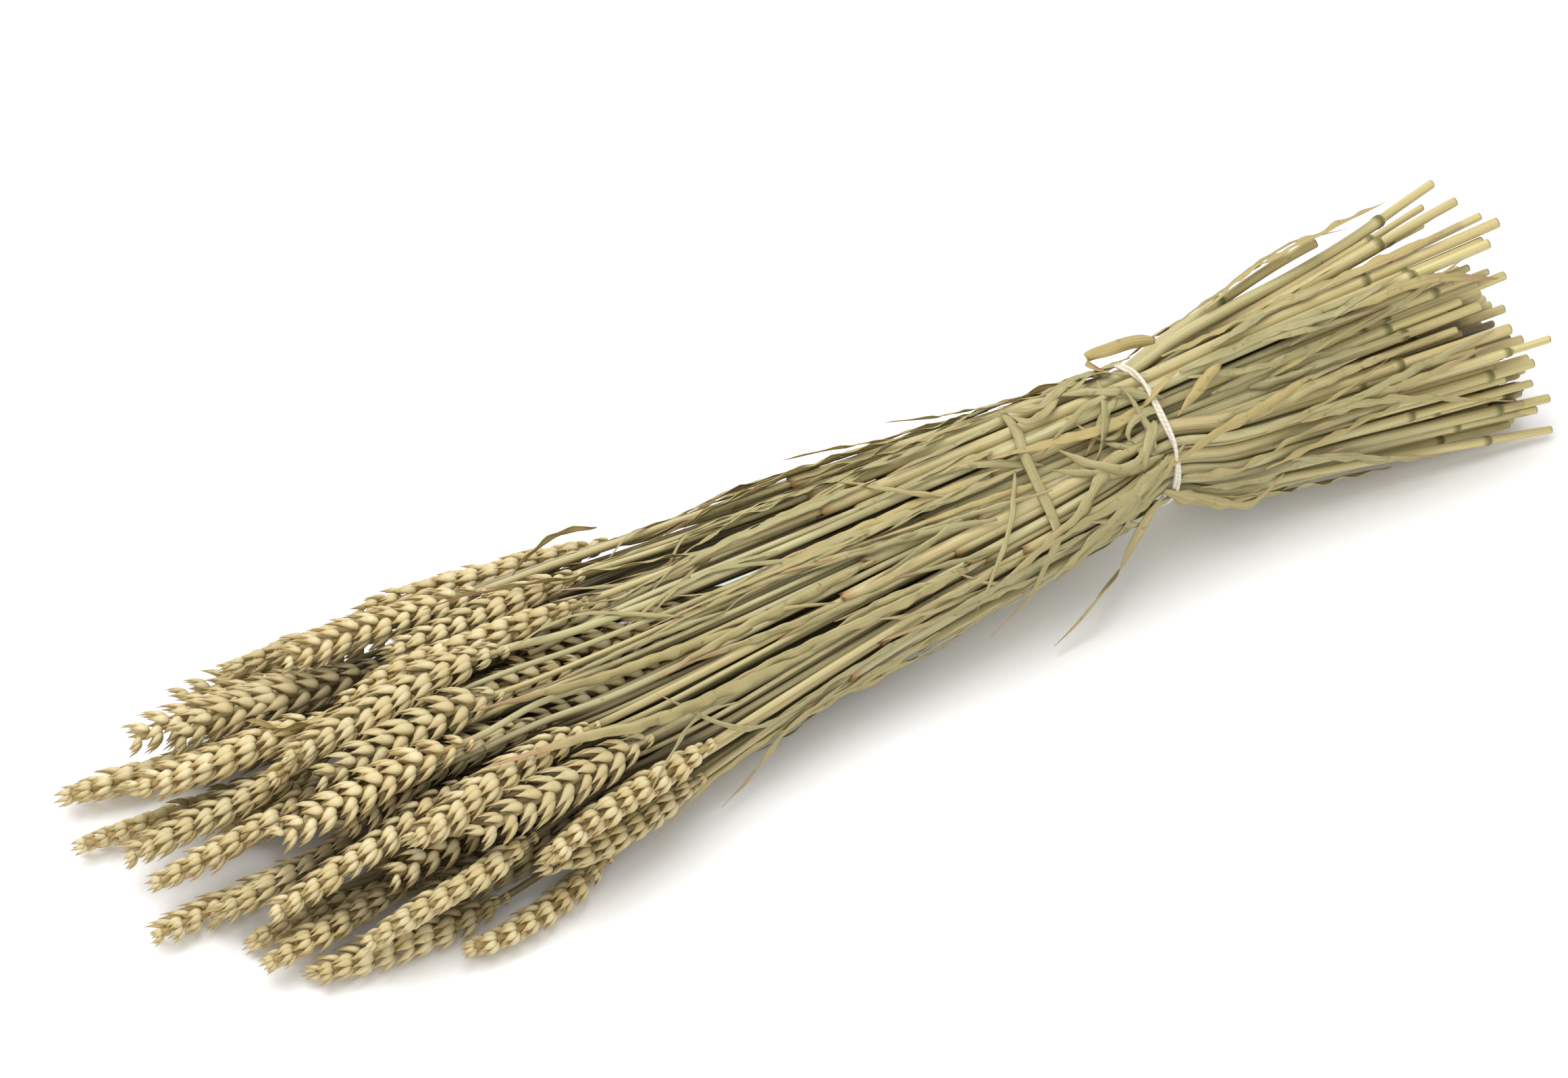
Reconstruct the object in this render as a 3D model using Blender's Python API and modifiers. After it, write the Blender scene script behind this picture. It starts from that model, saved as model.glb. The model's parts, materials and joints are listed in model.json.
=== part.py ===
"""A tied bunch of dried wheat that lies on a flat surface, built in Blender.

Places are worked out in millimetres from the centre of the tie: +X runs to the cut ends, -X to the ears,
+Y is the far side and Z is the height above the surface. At the end every part moves so that the origin
is the bottom centre of the bunch.
"""

import math

import bmesh
import bpy
import numpy as np
from mathutils import Vector

MM = 0.001
WELD = 0.001
ROUTE_CUTS = 8
GOLDEN_TURN = math.pi * (3 - math.sqrt(5))
GOLDEN_STEP = (math.sqrt(5) - 1) / 2

# One stalk
STEM_RADIUS = 2.5
NECK_RADIUS = 1.3
NECK_STARTS = -95.0
NECK_THIN = -150.0
EAR_RADIUS = 6.4
EAR_LENGTH = 80.0
EAR_SHAPE = ((0.0, 0.4), (0.07, 0.85), (0.25, 1.0), (0.6, 0.95), (0.88, 0.6), (1.0, 0.22))
CLEARANCE = 0.6
SLANT = 1.04
PART_GAP = 0.35

# The bunch
TIE_CENTRE = (0.0, 46.0)
TIED_RADIUS = 23.5
CORD_RADIUS = 1.1
CORD_POINTS = 44
CUT_CENTRE = (-3.0, 41.0)
CUT_RADIUS = 44.0
CUT_X = (136.0, 156.0)
CUT_TILT = 0.2
EAR_CENTRE = (6.0, 22.0)
EAR_SPREAD = (74.0, 20.0)
SWIRL = math.radians(14)
STATIONS = np.concatenate([np.linspace(162.0, 23.0, 6), [0.0], np.linspace(-23.0, -397.0, 18)])
TIE_STATION = int(np.argmin(np.abs(STATIONS)))
STATION_SLACK = 6.0
PRESSED_SPACING = 3.6
PRESSED_WITHIN = 15.0
TIE_FREE = 60.0
CORD_ANGLES = 240

# How the stalks settle: steps, then the share of the way that each step moves a stalk
LOOSE_STEPS = 250
TIGHT_STEPS = 500
CALM_AFTER = 0.6
PULL_BACK = 0.03
EVEN_OUT = 0.25
EVEN_OUT_LEAST = 0.002
PUSH_APART = 0.7
PUSH_OFF_GROUP = 0.5
OUTER_YIELD = 0.35
TINY = 1e-9

# The ears on the outside, as (base, tip)
OUTER_EARS = (
    ((-173, 60, 28), (-268, 80, 22)),
    ((-237, 69, 30), (-319, 79, 20)),
    ((-250, 73, 18), (-333, 90, 11)),
    ((-229, 57, 40), (-307, 53, 34)),
    ((-305, 59, 14), (-385, 68, 8)),
    ((-294, 30, 28), (-370, 44, 22)),
    ((-310, 36, 11), (-390, 44, 8)),
    ((-200, 31, 44), (-277, 41, 38)),
    ((-207, 20, 46), (-302, 17, 40)),
    ((-242, 7, 44), (-328, 10, 38)),
    ((-183, 25, 42), (-261, 25, 36)),
    ((-217, -4, 36), (-292, 4, 32)),
    ((-252, 0, 38), (-323, 1, 32)),
    ((-270, -13, 36), (-344, -10, 28)),
    ((-275, -23, 36), (-354, -31, 12)),
    ((-229, -22, 36), (-309, -40, 24)),
    ((-215, -35, 34), (-290, -50, 22)),
    ((-264, -36, 26), (-334, -57, 10)),
    ((-196, -39, 30), (-270, -54, 18)),
    ((-200, -36, 17), (-270, -50, 10)),
    ((-238, -38, 10), (-303, -54, 8)),
    ((-303, 23, 22), (-381, 23, 12)),
    ((-299, 8, 20), (-379, 8, 12)),
    ((-308, 0, 12), (-386, -7, 8)),
    ((-290, -12, 20), (-366, -13, 10)),
    ((-290, -32, 10), (-362, -42, 8)),
)
# Ears that show only a little between the others
HALF_HIDDEN_EARS = (
    ((-165, 2, 34), (-245, 18, 30)),
    ((-184, -6, 30), (-265, -8, 22)),
    ((-158, -14, 20), (-238, -14, 12)),
    ((-158, -19, 12), (-236, -24, 8)),
    ((-225, -26, 12), (-304, -44, 8)),
    ((-275, -44, 10), (-350, -44, 8)),
    ((-256, 62, 12), (-336, 72, 8)),
    ((-280, -18, 12), (-360, -28, 8)),
)
# Ears inside the heap, spread evenly over an oval
HIDDEN_EARS = 24
HIDDEN_CENTRE = (10.0, 17.0)
HIDDEN_SPREAD = (50.0, 9.0)
HIDDEN_X = (-172.0, -280.0)
HIDDEN_DROP = 7.0
HIDDEN_LEAN = 0.16
INNER_GROUPS = ("far", "upper", "near", "lower")

# Cut ends that stand clear of the rest, by the number of the stalk
LONE_CUT_ENDS = {
    0: (92, 24, 81),
    7: (147, 35, 76),
    10: (153, 12, 72),
    18: (151, -25, 31),
    19: (158, -31, 15),
    20: (157, -36, 4),
}

# Loose blades, as (x, degrees round the bunch from the far side, distance off the outer stalks)
LEAVES = {
    "leaf_front": {
        "route": (
            (-44, 66, 1.5),
            (-48, 90, 2.0),
            (-50, 118, 2.0),
            (-51, 145, 2.0),
            (-54, 172, 2.0),
            (-61, 198, 2.5),
            (-70, 216, 4.0),
            (-79, 230, 7.0),
        ),
        "width": 4.2,
    },
    "leaf_loop": {
        "route": (
            (17, 60, 1.5),
            (8, 56, 6.0),
            (-1, 53, 8.0),
            (-7, 53, 7.5),
            (-9, 57, 5.0),
            (-6.5, 62, 2.5),
            (-4.5, 66, 1.4),
        ),
        "width": 5.0,
        "across": (0.3, 0.6, 0.75),
    },
    "leaf_hanging": {
        "route": (
            (-5, 196, 1.6),
            (-12, 205, 3.5),
            (-24, 214, 9.0),
            (-36, 220, 14.0),
            (-47, 225, 18.0),
            (-58, 229, 21.0),
        ),
        "width": 5.5,
    },
}
LEAF_THICKNESS = 0.4
LEAF_STEPS = 14
LEAF_ROOT_WIDTH = 0.5
LEAF_ROOT = 0.12
LEAF_TIP_WIDTH = 0.2


def hidden_ears():
    ears = []
    for i in range(HIDDEN_EARS):
        out = math.sqrt((i + 0.5) / HIDDEN_EARS)
        turn = i * GOLDEN_TURN
        side = out * math.cos(turn)
        x = HIDDEN_X[0] + (HIDDEN_X[1] - HIDDEN_X[0]) * ((i * GOLDEN_STEP) % 1)
        y = HIDDEN_CENTRE[0] + HIDDEN_SPREAD[0] * side
        z = HIDDEN_CENTRE[1] + HIDDEN_SPREAD[1] * out * math.sin(turn)
        tip = (x - EAR_LENGTH, y + HIDDEN_LEAN * EAR_LENGTH * side, max(z - HIDDEN_DROP, EAR_RADIUS))
        ears.append(((x, y, z), tip))
    return ears


def turned(places, angle):
    c, s = math.cos(angle), math.sin(angle)
    return places @ np.array([[c, s], [-s, c]])


def cut_ends(disc):
    """Where each stalk is cut off, from its place across the bunch."""
    x = CUT_X[0] + (CUT_X[1] - CUT_X[0]) * ((np.arange(len(disc)) * GOLDEN_STEP) % 1)
    sideways = np.array(CUT_CENTRE) + CUT_RADIUS * turned(disc, SWIRL)
    ends = np.column_stack([x - CUT_TILT * (sideways[:, 1] - CUT_CENTRE[1]), sideways])
    for stalk, end in LONE_CUT_ENDS.items():
        ends[stalk] = end
    return ends


def stalk_radius(x, base_x, tip_x):
    """Radius of a stalk at x: its stem, its thin neck or its ear."""
    stem = np.interp(-x, [-NECK_STARTS, -NECK_THIN], [STEM_RADIUS, NECK_RADIUS])
    along = (base_x - x) / (base_x - tip_x)
    shape = np.array(EAR_SHAPE)
    ear = EAR_RADIUS * np.interp(along, shape[:, 0], shape[:, 1], left=0, right=0)
    return np.maximum(np.where(along > 1, 0, stem), ear)


class Bunch:
    """The stalks' centrelines, moved apart at every station until none touch."""

    def __init__(self):
        ears = np.array(list(OUTER_EARS) + list(HALF_HIDDEN_EARS) + hidden_ears(), float)
        self.base = ears[:, 0]
        self.tip = ears[:, 1]
        self.count = len(ears)
        middle = (self.base[:, 1:] + self.tip[:, 1:]) / 2
        disc = (middle - EAR_CENTRE) / EAR_SPREAD
        disc = disc / np.maximum(np.linalg.norm(disc, axis=1, keepdims=True), 1)
        self.cut = cut_ends(disc)
        self.group = np.full(self.count, -1)
        self.pressed = np.zeros((self.count, 2))
        self.places = self.first_places(disc)
        self.spread(LOOSE_STEPS)
        self.group_inner()
        self.spread(TIGHT_STEPS)

    def group_inner(self):
        """Numbers the inner stalks by the side of the tie that they are on. An outer stalk stays at -1.

        Under the tie each group is one stalk with the others pressed into it all round.
        """
        inner = np.arange(len(OUTER_EARS), self.count)
        out = self.places[inner, TIE_STATION] - self.places[inner, TIE_STATION].mean(axis=0)
        size = len(inner) // len(INNER_GROUPS)
        for rank, stalk in enumerate(inner[np.argsort(np.arctan2(out[:, 1], out[:, 0]))]):
            self.group[stalk] = rank // size
        for group in range(len(INNER_GROUPS)):
            members = np.flatnonzero(self.group == group)
            out = self.places[members, TIE_STATION] - self.places[members, TIE_STATION].mean(axis=0)
            heart = int(np.argmin(np.linalg.norm(out, axis=1)))
            ring = [k for k in np.argsort(np.arctan2(out[:, 1], out[:, 0])) if k != heart]
            first = math.atan2(out[ring[0], 1], out[ring[0], 0])
            for rank, k in enumerate(ring):
                turn = first + 2 * math.pi * rank / len(ring)
                self.pressed[members[k]] = PRESSED_SPACING * np.array([math.cos(turn), math.sin(turn)])

    def first_places(self, disc):
        """Straight from cut end to tie to ear base to tip."""
        tied = np.array(TIE_CENTRE) + (TIED_RADIUS - STEM_RADIUS) * disc
        places = np.zeros((self.count, len(STATIONS), 2))
        for k in range(self.count):
            knots = np.array([self.tip[k], self.base[k], (0, *tied[k]), self.cut[k]])
            for axis in (0, 1):
                places[k, :, axis] = np.interp(STATIONS, knots[:, 0], knots[:, 1 + axis])
        return places

    def spread(self, steps):
        samples = sampling()
        x = samples @ STATIONS
        radius = self.widest(x)
        reach, overlap_counts = self.reach(radius, x)
        loose = np.where(np.arange(self.count) < len(OUTER_EARS), OUTER_YIELD, 1.0)
        share = (loose[:, None] / (loose[:, None] + loose[None]))[..., None]
        weight = samples.sum(axis=0)[None, :, None]
        wanted = self.places.copy()
        away_from_tie = np.clip(np.abs(STATIONS) / TIE_FREE, 0, 1)[None, :, None]
        for step in range(steps):
            calm = max(0.0, 1 - step / (CALM_AFTER * steps))
            self.places += PULL_BACK * calm * away_from_tie * (wanted - self.places)
            middle = (self.places[:, :-2] + self.places[:, 2:]) / 2
            even_out = EVEN_OUT_LEAST + EVEN_OUT * calm
            self.places[:, 1:-1] += even_out * (middle - self.places[:, 1:-1])
            sampled = np.einsum("ms,ksa->kma", samples, self.places)
            apart = sampled[:, None] - sampled[None]
            distance = np.linalg.norm(apart, axis=3) + TINY
            overlap = np.where(overlap_counts, np.clip(reach - distance, 0, None), 0)
            push = PUSH_APART * ((overlap * share / distance)[..., None] * apart).sum(axis=1)
            sunk = np.clip(radius - sampled[..., 1] - push[..., 1], 0, None)
            push[..., 1] += np.where(radius > 0, sunk, 0)
            self.places += np.einsum("ms,kma->ksa", samples, push) / weight
            self.hold()

    def widest(self, x):
        """The widest that each stalk is near each x, and 0 past its ends."""
        radius = np.zeros((self.count, len(x)))
        for shift in (-STATION_SLACK, 0, STATION_SLACK):
            here = stalk_radius(x[None] + shift, self.base[:, :1], self.tip[:, :1])
            beyond = x[None] + shift > self.cut[:, :1] + STATION_SLACK
            radius = np.maximum(radius, np.where(beyond, 0, here))
        return radius

    def reach(self, radius, x):
        """Least distance between each two centrelines, and where it counts.

        Inner stalks of one group may press into each other near the tie.
        """
        there = radius > 0
        both = there[:, None] & there[None]
        both[np.arange(self.count), np.arange(self.count)] = False
        reach = SLANT * (radius[:, None] + radius[None]) + CLEARANCE
        kin = (self.group[:, None] == self.group[None]) & (self.group[:, None] >= 0)
        pressed = kin[..., None] & (np.abs(x) < PRESSED_WITHIN)
        return np.where(pressed, 0, reach), both

    def hold(self):
        """Keeps every stalk inside the tie, and each inner group pressed together there."""
        clear = PRESSED_SPACING + 2 * STEM_RADIUS + CLEARANCE
        for group in range(self.group.max() + 1):
            members = self.group == group
            middle = (self.places[members, TIE_STATION] - self.pressed[members]).mean(axis=0)
            away = self.places[~members, TIE_STATION] - middle
            distance = np.linalg.norm(away, axis=1, keepdims=True)
            push = PUSH_OFF_GROUP * away * np.clip(clear / distance - 1, 0, None)
            self.places[~members, TIE_STATION] += push
            self.places[members, TIE_STATION] = middle + self.pressed[members]
        out = self.places[:, TIE_STATION] - TIE_CENTRE
        distance = np.linalg.norm(out, axis=1, keepdims=True)
        most = TIED_RADIUS - STEM_RADIUS
        inwards = np.minimum(1, most / np.maximum(distance, TINY))
        self.places[:, TIE_STATION] = TIE_CENTRE + out * inwards

    def at(self, stalk, x):
        """Centre of a stalk at x."""
        y = np.interp(-x, -STATIONS, self.places[stalk, :, 0])
        z = np.interp(-x, -STATIONS, self.places[stalk, :, 1])
        return np.array([x, y, z])

    def outside(self, x, angle, lift):
        """The point at x that lies `lift` off the outermost stalk in the direction of `angle`."""
        out = np.array([math.cos(angle), math.sin(angle)])
        there = [k for k in range(self.count) if self.tip[k, 0] < x < self.cut[k, 0]]
        places = np.array([self.at(k, x)[1:] for k in there])
        radius = np.array([stalk_radius(x, self.base[k, 0], self.tip[k, 0]) for k in there])
        outermost = int(np.argmax(places @ out + radius))
        return np.array([x, *(places[outermost] + (radius[outermost] + lift) * out)])

    def stem_points(self, stalk, end_x):
        """Points (x, y, z, radius) from the cut end to end_x."""
        start_x = self.cut[stalk, 0]
        between = [x for x in STATIONS if end_x + STATION_SLACK < x < start_x - STATION_SLACK]
        tip_x = self.tip[stalk, 0]
        rows = []
        for x in (start_x, *between, end_x):
            rows.append((*self.at(stalk, x), stalk_radius(x, end_x - TINY, tip_x)))
        return rows

    def ear_points(self, stalk):
        base_x, tip_x = self.base[stalk, 0], self.tip[stalk, 0]
        rows = []
        for along, shape in EAR_SHAPE:
            rows.append((*self.at(stalk, base_x + along * (tip_x - base_x)), EAR_RADIUS * shape))
        return rows


def sampling():
    """Weights that give the place at every station and between each two, more closely next to the tie."""
    rows = []
    for i in range(len(STATIONS) - 1):
        cuts = 4 if i in (TIE_STATION - 1, TIE_STATION) else 2
        for cut in range(cuts):
            row = np.zeros(len(STATIONS))
            row[i : i + 2] = 1 - cut / cuts, cut / cuts
            rows.append(row)
    return np.array([*rows, np.eye(len(STATIONS))[-1]])


def evenly(points, count):
    """`count` points evenly along a closed line."""
    closed = np.vstack([points, points[:1]])
    run = np.concatenate([[0], np.cumsum(np.linalg.norm(np.diff(closed, axis=0), axis=1))])
    wanted = np.linspace(0, run[-1], count, endpoint=False)
    return np.column_stack([np.interp(wanted, run, closed[:, axis]) for axis in range(3)])


def smooth_route(points, steps):
    """Points evenly along a smooth curve through the given ones."""
    padded = [2 * points[0] - points[1], *points, 2 * points[-1] - points[-2]]
    fine = []
    for before, start, end, after in zip(padded, padded[1:], padded[2:], padded[3:]):
        leaving, arriving = (end - before) / 2, (after - start) / 2
        for t in np.linspace(0, 1, ROUTE_CUTS, endpoint=False):
            place = (2 * t**3 - 3 * t**2 + 1) * start + (3 * t**2 - 2 * t**3) * end
            fine.append(place + (t**3 - 2 * t**2 + t) * leaving + (t**3 - t**2) * arriving)
    fine = np.array(fine + [points[-1]])
    run = np.concatenate([[0], np.cumsum(np.linalg.norm(np.diff(fine, axis=0), axis=1))])
    wanted = np.linspace(0, run[-1], steps + 1)
    return np.column_stack([np.interp(wanted, run, fine[:, axis]) for axis in range(3)])


def clear_scene():
    for obj in list(bpy.data.objects):
        bpy.data.objects.remove(obj, do_unlink=True)


def new_collection(name):
    collection = bpy.data.collections.new(name)
    bpy.context.scene.collection.children.link(collection)
    return collection


def new_material(name, colour, roughness):
    material = bpy.data.materials.new(name)
    material.use_nodes = True
    shader = material.node_tree.nodes["Principled BSDF"]
    shader.inputs["Base Color"].default_value = (*colour, 1)
    shader.inputs["Roughness"].default_value = roughness
    shader.inputs["Metallic"].default_value = 0.0
    return material


def tube(name, points, collection, material, bevel_resolution=1, closed=False):
    """A round tube through points (x, y, z, radius) in millimetres."""
    curve = bpy.data.curves.new(name, "CURVE")
    curve.dimensions = "3D"
    curve.bevel_depth = MM
    curve.bevel_resolution = bevel_resolution
    curve.use_fill_caps = not closed
    spline = curve.splines.new("POLY")
    spline.points.add(len(points) - 1)
    for point, (x, y, z, radius) in zip(spline.points, points):
        point.co = (x * MM, y * MM, z * MM, 1)
        point.radius = radius
    spline.use_cyclic_u = closed
    spline.use_smooth = True
    curve.materials.append(material)
    obj = bpy.data.objects.new(name, curve)
    collection.objects.link(obj)
    return obj


def as_mesh(obj):
    """The curve's tube as a mesh object whose caps are joined to its side."""
    graph = bpy.context.evaluated_depsgraph_get()
    mesh = bpy.data.meshes.new_from_object(obj.evaluated_get(graph))
    welded = bmesh.new()
    welded.from_mesh(mesh)
    bmesh.ops.remove_doubles(welded, verts=welded.verts, dist=WELD * MM)
    bmesh.ops.recalc_face_normals(welded, faces=welded.faces)
    welded.to_mesh(mesh)
    welded.free()
    name = obj.name
    collection = obj.users_collection[0]
    place = obj.matrix_world.copy()
    bpy.data.objects.remove(obj, do_unlink=True)
    result = bpy.data.objects.new(name, mesh)
    result.matrix_world = place
    collection.objects.link(result)
    return result


def add_outer_stalks(bunch, collection, stem_material, ear_material):
    for k in range(len(OUTER_EARS)):
        number = f"{k + 1:02d}"
        neck_x = bunch.base[k, 0] + PART_GAP
        tube(f"stem_{number}", bunch.stem_points(k, neck_x), collection, stem_material)
        tube(f"ear_{number}", bunch.ear_points(k), collection, ear_material)


def add_inner_group(bunch, group, collection, helpers, material):
    """The inner stalks of one side of the bunch, joined where the tie presses them together."""
    members = [k for k in range(bunch.count) if bunch.group[k] == group]
    name = f"inner_stalks_{INNER_GROUPS[group]}"
    joined = None
    for k in members:
        base_x = bunch.base[k, 0]
        points = bunch.stem_points(k, base_x)[:-1] + bunch.ear_points(k)
        home = collection if joined is None else helpers
        stalk = as_mesh(tube(name if joined is None else f"stalk_{k}", points, home, material))
        if joined is None:
            joined = stalk
            continue
        stalk.hide_render = True
        stalk.display_type = "WIRE"
        union = joined.modifiers.new(f"Join {k}", "BOOLEAN")
        union.operation = "UNION"
        union.solver = "MANIFOLD"
        union.object = stalk
    return joined


def add_tie(bunch, collection, material):
    """The cord drawn tight round the stalks."""
    lift = CORD_RADIUS + 2 * PART_GAP
    angles = np.linspace(0, 2 * math.pi, CORD_ANGLES, endpoint=False)
    ring = evenly(np.array([bunch.outside(0.0, angle, lift) for angle in angles]), CORD_POINTS)
    points = [(*place, CORD_RADIUS) for place in ring]
    return tube("tie_cord", points, collection, material, bevel_resolution=2, closed=True)


def add_leaf(bunch, name, collection, material):
    """A dry blade: a narrow strip that tapers to its end, with a little thickness."""
    leaf = LEAVES[name]
    places = [bunch.outside(x, math.radians(angle), lift) for x, angle, lift in leaf["route"]]
    route = smooth_route(places, LEAF_STEPS)
    tangents = np.gradient(route, axis=0)
    mesh = bpy.data.meshes.new(name)
    strip = bmesh.new()
    rails = []
    for i, (place, tangent) in enumerate(zip(route, tangents)):
        along = Vector(tangent).normalized()
        if "across" in leaf:
            across = Vector(leaf["across"])
        else:
            centre = Vector((place[0], *TIE_CENTRE))
            across = along.cross(Vector(place) - centre)
        across = (across - across.dot(along) * along).normalized()
        part = i / LEAF_STEPS
        root = min(1, LEAF_ROOT_WIDTH + (1 - LEAF_ROOT_WIDTH) * part / LEAF_ROOT)
        half = leaf["width"] / 2 * root * (1 - (1 - LEAF_TIP_WIDTH) * part**3)
        rails.append([strip.verts.new((Vector(place) + side * half * across) * MM) for side in (-1, 1)])
    for (a, b), (c, d) in zip(rails, rails[1:]):
        strip.faces.new((a, b, d, c))
    bmesh.ops.recalc_face_normals(strip, faces=strip.faces)
    strip.to_mesh(mesh)
    strip.free()
    mesh.materials.append(material)
    obj = bpy.data.objects.new(name, mesh)
    collection.objects.link(obj)
    thickness = obj.modifiers.new("Thickness", "SOLIDIFY")
    thickness.thickness = LEAF_THICKNESS * MM
    thickness.offset = 0
    return obj


def centre_on_origin(objects):
    """Moves every object by the same amount, so that the origin is the bottom centre of them all."""
    bpy.context.view_layer.update()
    graph = bpy.context.evaluated_depsgraph_get()
    corners = []
    for obj in objects:
        evaluated = obj.evaluated_get(graph)
        mesh = evaluated.to_mesh()
        points = np.empty(len(mesh.vertices) * 3)
        mesh.vertices.foreach_get("co", points)
        evaluated.to_mesh_clear()
        points = points.reshape(-1, 3)
        corners += [points.min(axis=0), points.max(axis=0)]
    low, high = np.min(corners, axis=0), np.max(corners, axis=0)
    shift = Vector(((low[0] + high[0]) / 2, (low[1] + high[1]) / 2, low[2]))
    for obj in bpy.data.objects:
        obj.location -= shift


def build():
    clear_scene()
    bunch = Bunch()
    parts = new_collection("Wheat bunch")
    helpers = new_collection("Stalks to join")
    stem = new_material("Dry wheat stem", (0.47, 0.43, 0.22), 0.55)
    ear = new_material("Dry wheat ear", (0.60, 0.47, 0.23), 0.7)
    cord = new_material("White cotton cord", (0.80, 0.77, 0.70), 0.85)
    blade = new_material("Dry wheat leaf", (0.42, 0.36, 0.19), 0.6)
    add_outer_stalks(bunch, parts, stem, ear)
    for group in range(len(INNER_GROUPS)):
        add_inner_group(bunch, group, parts, helpers, stem)
    add_tie(bunch, parts, cord)
    for name in LEAVES:
        add_leaf(bunch, name, parts, blade)
    centre_on_origin(parts.objects)


if __name__ == "__main__":
    build()
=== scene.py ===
"""The looks of a tied bunch of dried wheat, on the frame of its CAD model.

Places are worked out in millimetres from the centre of the tie, as in the layout of the CAD model: +X runs
to the cut ends, -X to the ears, +Y is the far side and Z is the height above the floor. Each mesh is moved
to the frame, in metres, when it is made.
"""

import json
import math

import bpy
import numpy as np
from mathutils import Matrix, Vector

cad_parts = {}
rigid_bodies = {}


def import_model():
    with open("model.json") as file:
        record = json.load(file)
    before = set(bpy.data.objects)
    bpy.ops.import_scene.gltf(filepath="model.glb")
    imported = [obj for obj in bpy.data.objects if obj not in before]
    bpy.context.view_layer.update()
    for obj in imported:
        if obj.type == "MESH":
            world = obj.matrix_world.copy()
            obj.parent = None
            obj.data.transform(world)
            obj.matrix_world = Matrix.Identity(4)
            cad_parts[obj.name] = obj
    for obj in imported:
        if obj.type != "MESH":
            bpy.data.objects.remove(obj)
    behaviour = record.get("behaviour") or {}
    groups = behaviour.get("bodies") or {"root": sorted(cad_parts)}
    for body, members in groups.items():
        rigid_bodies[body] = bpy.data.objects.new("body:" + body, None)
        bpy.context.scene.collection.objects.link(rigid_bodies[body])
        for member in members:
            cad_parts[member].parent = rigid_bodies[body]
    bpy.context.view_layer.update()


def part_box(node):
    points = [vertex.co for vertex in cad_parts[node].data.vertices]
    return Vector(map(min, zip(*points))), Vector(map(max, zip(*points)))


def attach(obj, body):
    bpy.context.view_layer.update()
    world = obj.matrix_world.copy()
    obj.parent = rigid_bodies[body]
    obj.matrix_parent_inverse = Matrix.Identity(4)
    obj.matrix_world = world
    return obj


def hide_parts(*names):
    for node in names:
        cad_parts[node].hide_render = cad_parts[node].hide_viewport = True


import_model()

MM = 0.001
TURN = 2 * math.pi
GOLDEN_TURN = math.pi * (3 - math.sqrt(5))
GOLDEN_STEP = (math.sqrt(5) - 1) / 2

# One stalk, as in the CAD model
STEM_RADIUS = 2.5
NECK_RADIUS = 1.3
NECK_STARTS = -95.0
NECK_THIN = -150.0
EAR_RADIUS = 6.4
EAR_LENGTH = 80.0
EAR_SHAPE = ((0.0, 0.4), (0.07, 0.85), (0.25, 1.0), (0.6, 0.95), (0.88, 0.6), (1.0, 0.22))
CLEARANCE = 0.6
SLANT = 1.04
PART_GAP = 0.35

# The bunch, as in the CAD model
TIE_CENTRE = (0.0, 46.0)
TIED_RADIUS = 23.5
CORD_RADIUS = 1.1
CUT_CENTRE = (-3.0, 41.0)
CUT_RADIUS = 44.0
CUT_X = (136.0, 156.0)
CUT_TILT = 0.2
EAR_CENTRE = (6.0, 22.0)
EAR_SPREAD = (74.0, 20.0)
SWIRL = math.radians(14)
STATIONS = np.concatenate([np.linspace(162.0, 23.0, 6), [0.0], np.linspace(-23.0, -397.0, 18)])
TIE_STATION = int(np.argmin(np.abs(STATIONS)))
STATION_SLACK = 6.0
PRESSED_SPACING = 3.6
PRESSED_WITHIN = 15.0
TIE_FREE = 60.0

# How the stalks settle: steps, then the share of the way that each step moves a stalk
LOOSE_STEPS = 250
TIGHT_STEPS = 500
CALM_AFTER = 0.6
PULL_BACK = 0.03
EVEN_OUT = 0.25
EVEN_OUT_LEAST = 0.002
PUSH_APART = 0.7
PUSH_OFF_GROUP = 0.5
OUTER_YIELD = 0.35
TINY = 1e-9

# The ears on the outside, as (base, tip)
OUTER_EARS = (
    ((-173, 60, 28), (-268, 80, 22)),
    ((-237, 69, 30), (-319, 79, 20)),
    ((-250, 73, 18), (-333, 90, 11)),
    ((-229, 57, 40), (-307, 53, 34)),
    ((-305, 59, 14), (-385, 68, 8)),
    ((-294, 30, 28), (-370, 44, 22)),
    ((-310, 36, 11), (-390, 44, 8)),
    ((-200, 31, 44), (-277, 41, 38)),
    ((-207, 20, 46), (-302, 17, 40)),
    ((-242, 7, 44), (-328, 10, 38)),
    ((-183, 25, 42), (-261, 25, 36)),
    ((-217, -4, 36), (-292, 4, 32)),
    ((-252, 0, 38), (-323, 1, 32)),
    ((-270, -13, 36), (-344, -10, 28)),
    ((-275, -23, 36), (-354, -31, 12)),
    ((-229, -22, 36), (-309, -40, 24)),
    ((-215, -35, 34), (-290, -50, 22)),
    ((-264, -36, 26), (-334, -57, 10)),
    ((-196, -39, 30), (-270, -54, 18)),
    ((-200, -36, 17), (-270, -50, 10)),
    ((-238, -38, 10), (-303, -54, 8)),
    ((-303, 23, 22), (-381, 23, 12)),
    ((-299, 8, 20), (-379, 8, 12)),
    ((-308, 0, 12), (-386, -7, 8)),
    ((-290, -12, 20), (-366, -13, 10)),
    ((-290, -32, 10), (-362, -42, 8)),
)
# Ears that show only a little between the others
HALF_HIDDEN_EARS = (
    ((-165, 2, 34), (-245, 18, 30)),
    ((-184, -6, 30), (-265, -8, 22)),
    ((-158, -14, 20), (-238, -14, 12)),
    ((-158, -19, 12), (-236, -24, 8)),
    ((-225, -26, 12), (-304, -44, 8)),
    ((-275, -44, 10), (-350, -44, 8)),
    ((-256, 62, 12), (-336, 72, 8)),
    ((-280, -18, 12), (-360, -28, 8)),
)
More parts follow.
